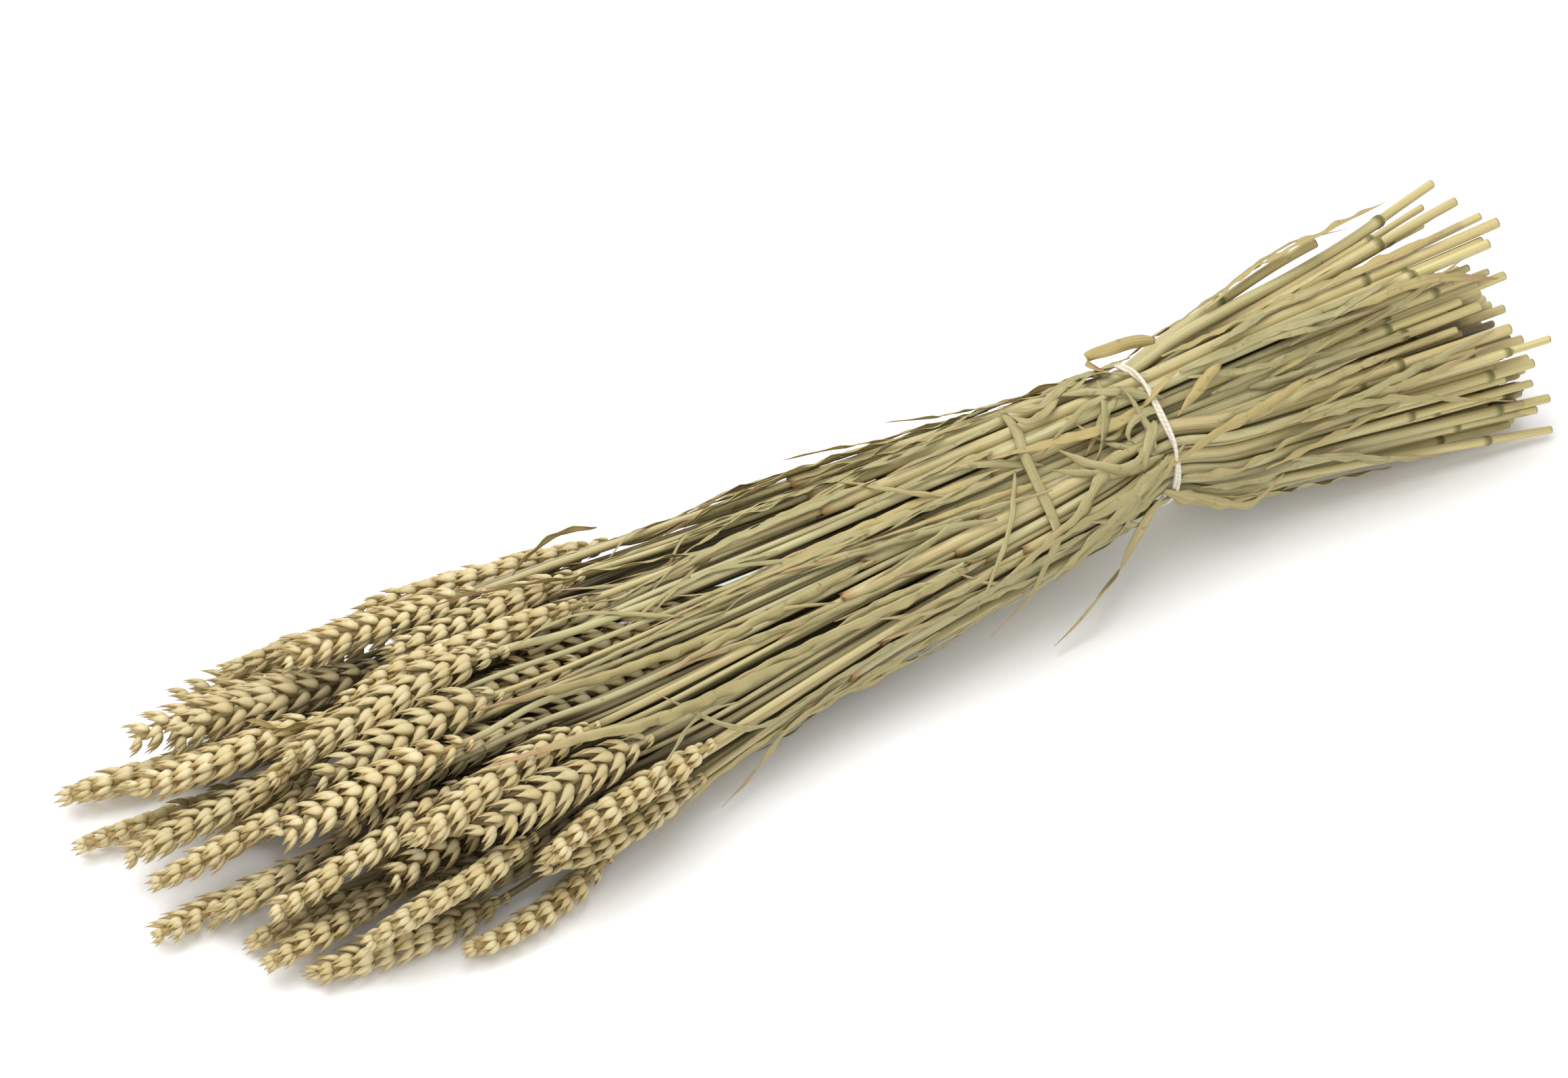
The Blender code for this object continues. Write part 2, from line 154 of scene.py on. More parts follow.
# Ears inside the heap, spread evenly over an oval
HIDDEN_EARS = 24
HIDDEN_CENTRE = (10.0, 17.0)
HIDDEN_SPREAD = (50.0, 9.0)
HIDDEN_X = (-172.0, -280.0)
HIDDEN_DROP = 7.0
HIDDEN_LEAN = 0.16
INNER_GROUPS = ("far", "upper", "near", "lower")

# Cut ends that stand clear of the rest, by the number of the stalk
LONE_CUT_ENDS = {
    0: (92, 24, 81),
    7: (147, 35, 76),
    10: (153, 12, 72),
    18: (151, -25, 31),
    19: (158, -31, 15),
    20: (157, -36, 4),
}


# The layout of the stalks


def hidden_ears():
    ears = []
    for i in range(HIDDEN_EARS):
        out = math.sqrt((i + 0.5) / HIDDEN_EARS)
        turn = i * GOLDEN_TURN
        side = out * math.cos(turn)
        x = HIDDEN_X[0] + (HIDDEN_X[1] - HIDDEN_X[0]) * ((i * GOLDEN_STEP) % 1)
        y = HIDDEN_CENTRE[0] + HIDDEN_SPREAD[0] * side
        z = HIDDEN_CENTRE[1] + HIDDEN_SPREAD[1] * out * math.sin(turn)
        tip = (x - EAR_LENGTH, y + HIDDEN_LEAN * EAR_LENGTH * side, max(z - HIDDEN_DROP, EAR_RADIUS))
        ears.append(((x, y, z), tip))
    return ears


def turned(places, angle):
    c, s = math.cos(angle), math.sin(angle)
    return places @ np.array([[c, s], [-s, c]])


def cut_ends(disc):
    """Where each stalk is cut off, from its place across the bunch."""
    x = CUT_X[0] + (CUT_X[1] - CUT_X[0]) * ((np.arange(len(disc)) * GOLDEN_STEP) % 1)
    sideways = np.array(CUT_CENTRE) + CUT_RADIUS * turned(disc, SWIRL)
    ends = np.column_stack([x - CUT_TILT * (sideways[:, 1] - CUT_CENTRE[1]), sideways])
    for stalk, end in LONE_CUT_ENDS.items():
        ends[stalk] = end
    return ends


def stalk_radius(x, base_x, tip_x):
    """Radius of a stalk at x: its stem, its thin neck or its ear."""
    stem = np.interp(-x, [-NECK_STARTS, -NECK_THIN], [STEM_RADIUS, NECK_RADIUS])
    along = (base_x - x) / (base_x - tip_x)
    shape = np.array(EAR_SHAPE)
    ear = EAR_RADIUS * np.interp(along, shape[:, 0], shape[:, 1], left=0, right=0)
    return np.maximum(np.where(along > 1, 0, stem), ear)


class Bunch:
    """The stalks' centrelines, moved apart at every station until none touch."""

    def __init__(self):
        ears = np.array(list(OUTER_EARS) + list(HALF_HIDDEN_EARS) + hidden_ears(), float)
        self.base = ears[:, 0]
        self.tip = ears[:, 1]
        self.count = len(ears)
        middle = (self.base[:, 1:] + self.tip[:, 1:]) / 2
        disc = (middle - EAR_CENTRE) / EAR_SPREAD
        disc = disc / np.maximum(np.linalg.norm(disc, axis=1, keepdims=True), 1)
        self.cut = cut_ends(disc)
        self.group = np.full(self.count, -1)
        self.pressed = np.zeros((self.count, 2))
        self.places = self.first_places(disc)
        self.spread(LOOSE_STEPS)
        self.group_inner()
        self.spread(TIGHT_STEPS)

    def group_inner(self):
        """Numbers the inner stalks by the side of the tie that they are on. An outer stalk stays at -1.

        Under the tie each group is one stalk with the others pressed into it all round.
        """
        inner = np.arange(len(OUTER_EARS), self.count)
        out = self.places[inner, TIE_STATION] - self.places[inner, TIE_STATION].mean(axis=0)
        size = len(inner) // len(INNER_GROUPS)
        for rank, stalk in enumerate(inner[np.argsort(np.arctan2(out[:, 1], out[:, 0]))]):
            self.group[stalk] = rank // size
        for group in range(len(INNER_GROUPS)):
            members = np.flatnonzero(self.group == group)
            out = self.places[members, TIE_STATION] - self.places[members, TIE_STATION].mean(axis=0)
            heart = int(np.argmin(np.linalg.norm(out, axis=1)))
            ring = [k for k in np.argsort(np.arctan2(out[:, 1], out[:, 0])) if k != heart]
            first = math.atan2(out[ring[0], 1], out[ring[0], 0])
            for rank, k in enumerate(ring):
                turn = first + TURN * rank / len(ring)
                self.pressed[members[k]] = PRESSED_SPACING * np.array([math.cos(turn), math.sin(turn)])

    def first_places(self, disc):
        """Straight from cut end to tie to ear base to tip."""
        tied = np.array(TIE_CENTRE) + (TIED_RADIUS - STEM_RADIUS) * disc
        places = np.zeros((self.count, len(STATIONS), 2))
        for k in range(self.count):
            knots = np.array([self.tip[k], self.base[k], (0, *tied[k]), self.cut[k]])
            for axis in (0, 1):
                places[k, :, axis] = np.interp(STATIONS, knots[:, 0], knots[:, 1 + axis])
        return places

    def spread(self, steps):
        samples = sampling()
        x = samples @ STATIONS
        radius = self.widest(x)
        reach, overlap_counts = self.reach(radius, x)
        loose = np.where(np.arange(self.count) < len(OUTER_EARS), OUTER_YIELD, 1.0)
        share = (loose[:, None] / (loose[:, None] + loose[None]))[..., None]
        weight = samples.sum(axis=0)[None, :, None]
        wanted = self.places.copy()
        away_from_tie = np.clip(np.abs(STATIONS) / TIE_FREE, 0, 1)[None, :, None]
        for step in range(steps):
            calm = max(0.0, 1 - step / (CALM_AFTER * steps))
            self.places += PULL_BACK * calm * away_from_tie * (wanted - self.places)
            middle = (self.places[:, :-2] + self.places[:, 2:]) / 2
            even_out = EVEN_OUT_LEAST + EVEN_OUT * calm
            self.places[:, 1:-1] += even_out * (middle - self.places[:, 1:-1])
            sampled = np.einsum("ms,ksa->kma", samples, self.places)
            apart = sampled[:, None] - sampled[None]
            distance = np.linalg.norm(apart, axis=3) + TINY
            overlap = np.where(overlap_counts, np.clip(reach - distance, 0, None), 0)
            push = PUSH_APART * ((overlap * share / distance)[..., None] * apart).sum(axis=1)
            sunk = np.clip(radius - sampled[..., 1] - push[..., 1], 0, None)
            push[..., 1] += np.where(radius > 0, sunk, 0)
            self.places += np.einsum("ms,kma->ksa", samples, push) / weight
            self.hold()

    def widest(self, x):
        """The widest that each stalk is near each x, and 0 past its ends."""
        radius = np.zeros((self.count, len(x)))
        for shift in (-STATION_SLACK, 0, STATION_SLACK):
            here = stalk_radius(x[None] + shift, self.base[:, :1], self.tip[:, :1])
            beyond = x[None] + shift > self.cut[:, :1] + STATION_SLACK
            radius = np.maximum(radius, np.where(beyond, 0, here))
        return radius

    def reach(self, radius, x):
        """Least distance between each two centrelines, and where it counts.

        Inner stalks of one group may press into each other near the tie.
        """
        there = radius > 0
        both = there[:, None] & there[None]
        both[np.arange(self.count), np.arange(self.count)] = False
        reach = SLANT * (radius[:, None] + radius[None]) + CLEARANCE
        kin = (self.group[:, None] == self.group[None]) & (self.group[:, None] >= 0)
        pressed = kin[..., None] & (np.abs(x) < PRESSED_WITHIN)
        return np.where(pressed, 0, reach), both

    def hold(self):
        """Keeps every stalk inside the tie, and each inner group pressed together there."""
        clear = PRESSED_SPACING + 2 * STEM_RADIUS + CLEARANCE
        for group in range(self.group.max() + 1):
            members = self.group == group
            middle = (self.places[members, TIE_STATION] - self.pressed[members]).mean(axis=0)
            away = self.places[~members, TIE_STATION] - middle
            distance = np.linalg.norm(away, axis=1, keepdims=True)
            push = PUSH_OFF_GROUP * away * np.clip(clear / distance - 1, 0, None)
            self.places[~members, TIE_STATION] += push
            self.places[members, TIE_STATION] = middle + self.pressed[members]
        out = self.places[:, TIE_STATION] - TIE_CENTRE
        distance = np.linalg.norm(out, axis=1, keepdims=True)
        most = TIED_RADIUS - STEM_RADIUS
        inwards = np.minimum(1, most / np.maximum(distance, TINY))
        self.places[:, TIE_STATION] = TIE_CENTRE + out * inwards

    def line(self, stalk, x):
        """Centres of a stalk at each x, on a smooth curve through its stations."""
        knots = -STATIONS
        slopes = np.gradient(self.places[stalk], knots, axis=0)
        x = np.atleast_1d(np.asarray(x, float))
        i = np.clip(np.searchsorted(knots, -x, side="right") - 1, 0, len(knots) - 2)
        wide = (knots[i + 1] - knots[i])[:, None]
        t = ((-x - knots[i]) / wide[:, 0])[:, None]
        start, end = self.places[stalk, i], self.places[stalk, i + 1]
        place = (2 * t**3 - 3 * t**2 + 1) * start + (3 * t**2 - 2 * t**3) * end
        bend = (t**3 - 2 * t**2 + t) * slopes[i] + (t**3 - t**2) * slopes[i + 1]
        return np.column_stack([x, place + wide * bend])

    def there(self, x):
        """Places and radii of the stalks that are there at x."""
        found = [k for k in range(self.count) if self.tip[k, 0] < x < self.cut[k, 0]]
        places = np.array([self.line(k, x)[0, 1:] for k in found])
        radius = np.array([stalk_radius(x, self.base[k, 0], self.tip[k, 0]) for k in found])
        return places, radius

    def outside(self, x, angle, lift):
        """The point at x that lies `lift` off the outermost stalk in the direction of `angle`."""
        out = np.array([math.cos(angle), math.sin(angle)])
        places, radius = self.there(x)
        outermost = int(np.argmax(places @ out + radius))
        return np.array([x, *(places[outermost] + (radius[outermost] + lift) * out)])


def sampling():
    """Weights that give the place at every station and between each two, more closely next to the tie."""
    rows = []
    for i in range(len(STATIONS) - 1):
        cuts = 4 if i in (TIE_STATION - 1, TIE_STATION) else 2
        for cut in range(cuts):
            row = np.zeros(len(STATIONS))
            row[i : i + 2] = 1 - cut / cuts, cut / cuts
            rows.append(row)
    return np.array([*rows, np.eye(len(STATIONS))[-1]])


def evenly(points, count):
    """`count` points evenly along a closed line."""
    closed = np.vstack([points, points[:1]])
    run = np.concatenate([[0], np.cumsum(np.linalg.norm(np.diff(closed, axis=0), axis=1))])
    wanted = np.linspace(0, run[-1], count, endpoint=False)
    return np.column_stack([np.interp(wanted, run, closed[:, axis]) for axis in range(3)])


def smooth_route(points, steps):
    """Points evenly along a smooth curve through the given ones."""
    points = [np.asarray(point, float) for point in points]
    padded = [2 * points[0] - points[1], *points, 2 * points[-1] - points[-2]]
    fine = []
    for before, start, end, after in zip(padded, padded[1:], padded[2:], padded[3:]):
        leaving, arriving = (end - before) / 2, (after - start) / 2
        for t in np.linspace(0, 1, ROUTE_CUTS, endpoint=False):
            place = (2 * t**3 - 3 * t**2 + 1) * start + (3 * t**2 - 2 * t**3) * end
            fine.append(place + (t**3 - 2 * t**2 + t) * leaving + (t**3 - t**2) * arriving)
    fine = np.array(fine + [points[-1]])
    run = np.concatenate([[0], np.cumsum(np.linalg.norm(np.diff(fine, axis=0), axis=1))])
    wanted = np.linspace(0, run[-1], steps + 1)
    return np.column_stack([np.interp(wanted, run, fine[:, axis]) for axis in range(3)])


# Sizes of the fine parts

SKIN_REACH = 1.5
SKIN_X = (-385.0, 156.0, 5.0)
SKIN_DIRECTIONS = 90
# Keeps a point at the last x between two rows of the skin
LAST_ROW_SLACK = 0.001
ROUTE_CUTS = 8

# Stems: the last internode is bare, a node closes it, and the sheath above runs to its torn mouth
STEM_SIDES = 12
STEM_SEEDS = 500
# What a stem's mesh tells its material
STEM_FACTS = ("tone", "ripe", "bare", "node", "torn", "hollow")
# How far apart two stems lie in the noise of the fibres, at most
OWN_FIBRES = 5000.0
OVAL = 0.09
OVAL_DRIFT = 600.0
BARE_SHARE = (0.8, 0.9)
NODE_SWELL = 0.16
NODE_FROM_CUT = (14.0, 62.0)
YELLOW_SHARE = 0.75
YELLOW_WITHIN = 70.0
SHEATH_RADIUS = (1.45, 2.4)
SHEATH_STEP = 4.0
SHEATH_EDGE = 0.16
SHEATH_WAVE = (0.06, 23.0)
MOUTH_X = (-138.0, -58.0)
MOUTH_CLEAR = 25.0
MOUTH_LENGTH = 5.0
MOUTH_RAGGED = 1.4
MOUTH_WALL = 0.3
NECK_WIDTH = (1.0, 1.35)
NECK_STEPS = 34
NECK_MOST = 0.8
# How many times further off in the noise of the fibres the neck lies than its sheath
NECK_APART = 2.0
# The brown collar where the neck meets the ear: how brown, and how far it reaches
COLLAR_BROWN = 0.6
COLLAR_REACH = 3.0
# The cut end: rings along the bare internode, where they start, and how much the cut's edge is bevelled
FOOT_STEPS = 9
FOOT_FROM_CUT = 5.0
CUT_EDGE = 0.1
# The node: (how far past its middle, how swollen, how dark)
NODE_RINGS = (
    (2.4, 0.0, 0.0),
    (1.6, 0.55, 0.7),
    (0.8, 0.95, 1.0),
    (0.0, 0.7, 0.9),
    (-0.8, 0.95, 0.7),
    (-1.6, 0.55, 0.25),
    (-2.4, 0.0, 0.0),
)
HOLLOW_DEPTH = 7.0
HOLLOW_WALL = 0.45

# Thin stems in the grooves between the others
FILLERS = 90
# Seeds of the thin stems, for their places and for their sizes
FILLER_SEEDS = (900, 950)
FILLER_OUTER_FIRST = 0.35
FILLER_BETWEEN = (0.4, 0.6)
FILLER_AT = -110.0
FILLER_GAP = (5.4, 17.0)
FILLER_SIZE = (0.6, 0.95)
FILLER_SINK = 1.2
FILLER_PINCH = ((12.0, 50.0), (0.6, 1.0))
FILLER_ENDS = (12.0, 45.0)
FILLER_DIVE = 5.0
FILLER_DIVE_WITHIN = 50.0
FILLER_WANDER = (0.5, 31.0)
FILLER_HEIGHT = 2.0
FILLER_CUT_SHORT = 18

# Ears: spikelets on alternate sides of the axis
SPIKELET_SPACING = 3.5
SPIKELET_LEAN = math.radians(18)
SPIKELET_KINDS = 4
EAR_AXIS_POINTS = 14
EAR_CORE_RADIUS = 1.1
EAR_SEED = 7
EAR_SEEDS = 100
SHADE_SEED = 3
KIND_SEED = 11
CORE_SIDES = 6
EAR_ROLL = 0.9
EAR_SIZE = (0.93, 1.07)
EAR_ENDS = (1.0, 9.0)
SPIKELET_SIZE = (0.92, 1.08)
SPIKELET_WOBBLE = (0.07, 0.09, 0.2)
# How large the spikelets are from the foot of the ear to its tip
SPIKELET_GROWTH = ((0.0, 0.42), (0.1, 0.72), (0.26, 1.0), (0.7, 0.98), (0.9, 0.8), (1.0, 0.62))
# Veins about 0.6 mm apart across a scale 4 mm wide, and where its darker rim starts, from 0 to 1
VEIN_TURNS = 21.0
RIM_STARTS = 0.62
# The darker foot is partly the scale's own tan and partly painted shade where it sits in a crevice
HUSK_COLOURS = ((0.0, "#B39C68"), (0.14, "#DDD0A0"), (0.45, "#E6DAB2"), (0.75, "#D2C08D"), (1.0, "#96773F"))

# How high above the floor things end, and within how much they give way to it
FLOOR_GAP = 0.2
FLOOR_SOFT = 1.3

# Cord: two strands side by side that turn round each other slowly, each laid from fine yarn
CORD_STRANDS = 2
STRAND_RADIUS = 0.68
STRAND_OFFSET = 0.62
CORD_TWISTS = 3
CORD_ANGLES = 240
CORD_POINTS = 96
CORD_SOFTENED = 3
CORD_STEPS = 420
CORD_SIDES = 10
YARN_PITCH = 0.9
YARN_TURNS = 2.0
FIBRE_SIZE = 0.3

# Painted shade: the colour laid over whatever lies deep between the stalks, more of it the deeper it lies
PAINTED_SHADE_COLOUR = "#38240A"

IMAGE_WIDTH = 2322
FOCAL_PIXELS = 7290.0
SENSOR_WIDTH = 36.0
CAMERA_PLACE = (-765.3, -1038.0, 1153.6)
CAMERA_SIDE = math.radians(31)
CAMERA_DOWN = math.radians(42)
CAMERA_REACH = (0.05, 20.0)

# Studio, in metres and watts: half the floor's width, then the name, place, width and power of each light
FLOOR_HALF = 6.0
SKY_STRENGTH = 0.72
SOFTBOXES = (
    ("Softbox above", (-0.3, 0.3, 1.7), 1.6, 25.0),
    ("Softbox front", (-0.9, -1.4, 1.2), 1.6, 7.0),
)


def cord_ring(bunch):
    """Points round the stalks, where the middle of the cord runs."""
    lift = CORD_RADIUS + 2 * PART_GAP
    angles = np.linspace(0, TURN, CORD_ANGLES, endpoint=False)
    return np.array([bunch.outside(0.0, angle, lift) for angle in angles])


def frame_shift(bunch):
    """What the layout's places need to stand in the frame, from the CAD cord and the layout's own."""
    ring = cord_ring(bunch)
    middle = (ring.min(axis=0) + ring.max(axis=0)) / 2
    low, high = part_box("tie_cord")
    return (np.array(low) + np.array(high)) / 2 - middle * MM


# The surface over the bunch


class Skin:
    """The surface that lies over the bunch like a taut cloth, on a grid of places along and directions."""

    def __init__(self, bunch):
        self.x = np.arange(*SKIN_X)
        self.step = SKIN_X[2]
        self.angles = np.linspace(0, TURN, SKIN_DIRECTIONS, endpoint=False)
        out = np.stack([np.cos(self.angles), np.sin(self.angles)])
        across = np.stack([-out[1], out[0]])
        middles, reach = [], []
        for x in self.x:
            places, radius = bunch.there(x)
            middle = (places.min(axis=0) + places.max(axis=0)) / 2
            wide = radius[:, None] + SKIN_REACH
            miss = np.abs((places - middle) @ across)
            hit = (places - middle) @ out + np.sqrt(np.clip(wide**2 - miss**2, 0, None))
            middles.append(middle)
            reach.append(np.where(miss < wide, hit, 0).max(axis=0) - SKIN_REACH)
        self.middles = np.array(middles)
        reach = np.array(reach)
        reach = np.maximum(reach, np.maximum(np.roll(reach, 1, axis=1), np.roll(reach, -1, axis=1)))
        for axis in (0, 1):
            before, after = np.roll(reach, 1, axis=axis), np.roll(reach, -1, axis=axis)
            if axis == 0:
                before[0], after[-1] = reach[0], reach[-1]
            reach = (before + 2 * reach + after) / 4
        self.reach = reach

    def along(self, x):
        """Grid rows on both sides of each x, and how far it is from the first to the second."""
        row = np.clip((x - self.x[0]) / self.step, 0, len(self.x) - 1 - LAST_ROW_SLACK)
        return row.astype(int), row % 1

    def place(self, x, degrees, lift=0.0):
        """Points at x in a direction round the bunch, `lift` above the skin."""
        x, degrees = np.broadcast_arrays(np.asarray(x, float), degrees)
        row, part = self.along(x)
        turn = np.radians(degrees) / TURN * SKIN_DIRECTIONS
        first, share = np.floor(turn).astype(int), turn % 1
        ahead = (first + 1) % SKIN_DIRECTIONS
        first = first % SKIN_DIRECTIONS
        low = self.reach[row, first] * (1 - share) + self.reach[row, ahead] * share
        high = self.reach[row + 1, first] * (1 - share) + self.reach[row + 1, ahead] * share
        far = low * (1 - part) + high * part + lift
        middle = self.middle(x)
        angle = np.radians(degrees)
        sideways = middle + far[..., None] * np.stack([np.cos(angle), np.sin(angle)], axis=-1)
        return np.concatenate([x[..., None], sideways], axis=-1)

    def middle(self, x):
        row, part = self.along(np.asarray(x, float))
        return self.middles[row] * (1 - part[..., None]) + self.middles[row + 1] * part[..., None]

    def outwards(self, places):
        """Directions away from the middle of the bunch."""
        away = places[..., 1:] - self.middle(places[..., 0])
        return unit(np.concatenate([0 * away[..., :1], away], axis=-1))

    def direction(self, place):
        """Degrees round the bunch."""
        away = place[1:] - self.middle(place[0])
        return math.degrees(math.atan2(away[1], away[0]))

    def depth(self, places):
        """How far below the skin each point lies, in mm."""
        row = np.clip(np.round((places[:, 0] - self.x[0]) / self.step), 0, len(self.x) - 1)
        depth = np.zeros(len(places))
        out = np.stack([np.cos(self.angles), np.sin(self.angles)], axis=-1)
        for k in np.unique(row).astype(int):
            here = row == k
            away = places[here, 1:] - self.middles[k]
            outline = self.reach[k][:, None] * out
            near = np.linalg.norm(away[:, None] - outline[None], axis=2).min(axis=1)
            turn = np.arctan2(away[:, 1], away[:, 0]) % TURN / TURN * SKIN_DIRECTIONS
            limit = self.reach[k][turn.astype(int) % SKIN_DIRECTIONS]
            depth[here] = np.where(np.linalg.norm(away, axis=1) < limit, near, 0)
        return depth


# Meshes


class Shapes:
    """Closed shapes gathered into one mesh, with the numbers that its material reads."""

    def __init__(self, facts):
        self.places = []
        self.straight = []
        self.quads = []
        self.triangles = []
        self.facts = {name: [] for name in facts}
        self.count = 0

    def add(self, rings, straight, **facts):
        """Skins rings of shape (along, around, 3) and closes both ends.

        `straight` holds the same places as if the shape were laid out straight. Each fact is one number, or
        one for each ring, or one for each point.
        """
        along, around = rings.shape[:2]
        index = self.count + np.arange(along * around).reshape(along, around)
        after = np.roll(index, -1, axis=1)
        quads = np.stack([index[:-1], after[:-1], after[1:], index[1:]], axis=-1)
        self.quads.append(quads.reshape(-1, 4))
        ends = self.count + along * around
        start = np.stack([np.full(around, ends), after[0], index[0]], axis=-1)
        finish = np.stack([np.full(around, ends + 1), index[-1], after[-1]], axis=-1)
        self.triangles += [start, finish]
        for kept, given in ((self.places, rings), (self.straight, straight)):
            kept.append(given.reshape(-1, 3))
            kept.append(np.array([given[0].mean(axis=0), given[-1].mean(axis=0)]))
        for name, kept in self.facts.items():
            value = np.asarray(facts[name], float)
            value = value[:, None] if value.ndim == 1 else value
            full = np.broadcast_to(value, (along, around))
            kept.append(full.reshape(-1))
            kept.append(np.array([full[0].mean(), full[-1].mean()]))
        self.count = ends + 2

    def finish(self, name, shift, material, skin=None):
        """The mesh object of all the shapes, in the frame."""
        places = np.concatenate(self.places)
        if skin:
            self.facts["depth"] = [skin.depth(places)]
        places = places * MM + shift
        quads = np.concatenate(self.quads)
        triangles = np.concatenate(self.triangles)
        mesh = bpy.data.meshes.new(name)
        mesh.vertices.add(len(places))
        mesh.vertices.foreach_set("co", places.ravel())
        mesh.loops.add(quads.size + triangles.size)
        corners = np.concatenate([quads.ravel(), triangles.ravel()])
        mesh.loops.foreach_set("vertex_index", corners.astype(np.int32))
        mesh.polygons.add(len(quads) + len(triangles))
        starts = np.concatenate(
            [4 * np.arange(len(quads)), quads.size + 3 * np.arange(len(triangles))]
        )
        mesh.polygons.foreach_set("loop_start", starts.astype(np.int32))
        mesh.update(calc_edges=True)
        mesh.validate()
        straight = mesh.attributes.new("straight", "FLOAT_VECTOR", "POINT")
        straight.data.foreach_set("vector", np.concatenate(self.straight).ravel())
        for fact, kept in self.facts.items():
            attribute = mesh.attributes.new(fact, "FLOAT", "POINT")
            attribute.data.foreach_set("value", np.concatenate(kept))
        mesh.shade_smooth()
        mesh.materials.append(material)
        obj = bpy.data.objects.new(name, mesh)
        bpy.context.scene.collection.objects.link(obj)
        return obj


def unit(vectors):
    return vectors / np.maximum(np.linalg.norm(vectors, axis=-1, keepdims=True), TINY)


def put(piece, slot, *nodes):
    """The piece rides on the bunch and stands for CAD nodes, which are hidden. Its slot is not used."""
    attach(piece, "root")
    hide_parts(*nodes)


# Materials


def colour(code):
    """An sRGB hex colour as linear RGBA."""
    linear = []
    for start in (1, 3, 5):
        channel = int(code[start : start + 2], 16) / 255
        linear.append(channel / 12.92 if channel <= 0.04045 else ((channel + 0.055) / 1.055) ** 2.4)
    return (*linear, 1.0)


def feed(tree, node, sockets):
    """Gives a node's inputs, by name or number, a value or another node's output."""
    for socket, value in dict(sockets).items():
        if isinstance(value, bpy.types.NodeSocket):
            tree.links.new(value, node.inputs[socket])
        else:
            node.inputs[socket].default_value = value


def add(tree, kind, sockets=(), **settings):
    """Adds a node with its settings and feeds it."""
    node = tree.nodes.new(kind)
    for name, value in settings.items():
        setattr(node, name, value)
    feed(tree, node, sockets)
    return node


def new_material(name, facts=(), **sockets):
    """A material with one Principled shader, its tree, its shader and the numbers that the mesh holds."""
    material = bpy.data.materials.new(name)
    material.use_nodes = True
    tree = material.node_tree
    shader = tree.nodes["Principled BSDF"]
    feed(tree, shader, {socket.replace("_", " "): value for socket, value in sockets.items()})
    read = {}
    for fact in facts:
        read[fact] = add(tree, "ShaderNodeAttribute", attribute_name=fact).outputs["Fac"]
    return material, tree, shader, read


def layered(tree, base, *layers):
    """A colour with others laid over it in turn.

    A layer is (factor, share where the factor is 0, share where it is 1, colour).
    """
    for factor, least, most, over in layers:
        share = add(tree, "ShaderNodeMapRange", {"Value": factor, "To Min": least, "To Max": most})
        # Inputs 6 and 7 and output 2 are the colours of a mix
        mix = add(tree, "ShaderNodeMix", {0: share.outputs[0], 6: base, 7: over}, data_type="RGBA")
        base = mix.outputs[2]
    return base


def fibres(tree, across_mm, along_mm, shift=0.0):
    """Noise drawn out lengthwise: `across_mm` apart across the piece and `along_mm` along it."""
    straight = add(tree, "ShaderNodeAttribute", attribute_name="straight").outputs["Vector"]
    stretch = (1 / along_mm, 1 / across_mm, 1 / across_mm)
    sockets = {"Vector": straight, "Scale": stretch, "Location": (shift, 0, 0)}
    place = add(tree, "ShaderNodeMapping", sockets).outputs["Vector"]
    sockets = {"Vector": place, "Scale": 1.0, "Detail": 2.0, "Roughness": 0.55}
    return add(tree, "ShaderNodeTexNoise", sockets).outputs["Fac"]


def blotches(tree, size_mm, start, full):
    """Soft patches of about `size_mm`, from 0 to 1, that begin at `start` of the noise."""
    place = add(tree, "ShaderNodeTexCoord").outputs["Object"]
    sockets = {"Vector": place, "Scale": 1 / (size_mm * MM), "Detail": 3.0, "Roughness": 0.6}
    noise = add(tree, "ShaderNodeTexNoise", sockets).outputs["Fac"]
    sockets = {"Value": noise, "From Min": start, "From Max": full}
    return add(tree, "ShaderNodeMapRange", sockets).outputs["Result"]


def painted_shade_share(tree, depth, shallow_mm, deep_mm):
    """How much painted shade darkens a colour deep between the stalks, from 0 to 1."""
    sockets = {"Value": depth, "From Min": shallow_mm, "From Max": deep_mm}
    return add(tree, "ShaderNodeMapRange", sockets).outputs["Result"]


def surface(tree, shader, base, gloss, height, depth_mm):
    """Gives the shader its colour and a relief, and a roughness as (factor, least, most) if there is one."""
    bump = add(tree, "ShaderNodeBump", {"Height": height, "Strength": 1.0, "Distance": depth_mm * MM})
    feed(tree, shader, {"Base Color": base, "Normal": bump.outputs["Normal"]})
    if gloss:
        sockets = dict(zip(("Value", "To Min", "To Max"), gloss))
        rough = add(tree, "ShaderNodeMapRange", sockets)
        feed(tree, shader, {"Roughness": rough.outputs["Result"]})


def husk_colour(tree, up):
    """A scale's colour from its foot to its point, its darker foot partly painted shade."""
    made = add(tree, "ShaderNodeValToRGB", {"Fac": up})
    points = made.color_ramp.elements
    while len(points) < len(HUSK_COLOURS):
        points.new(0.5)
    for point, (place, code) in zip(points, HUSK_COLOURS):
        point.position = place
        point.color = colour(code)
    return made.outputs["Color"]


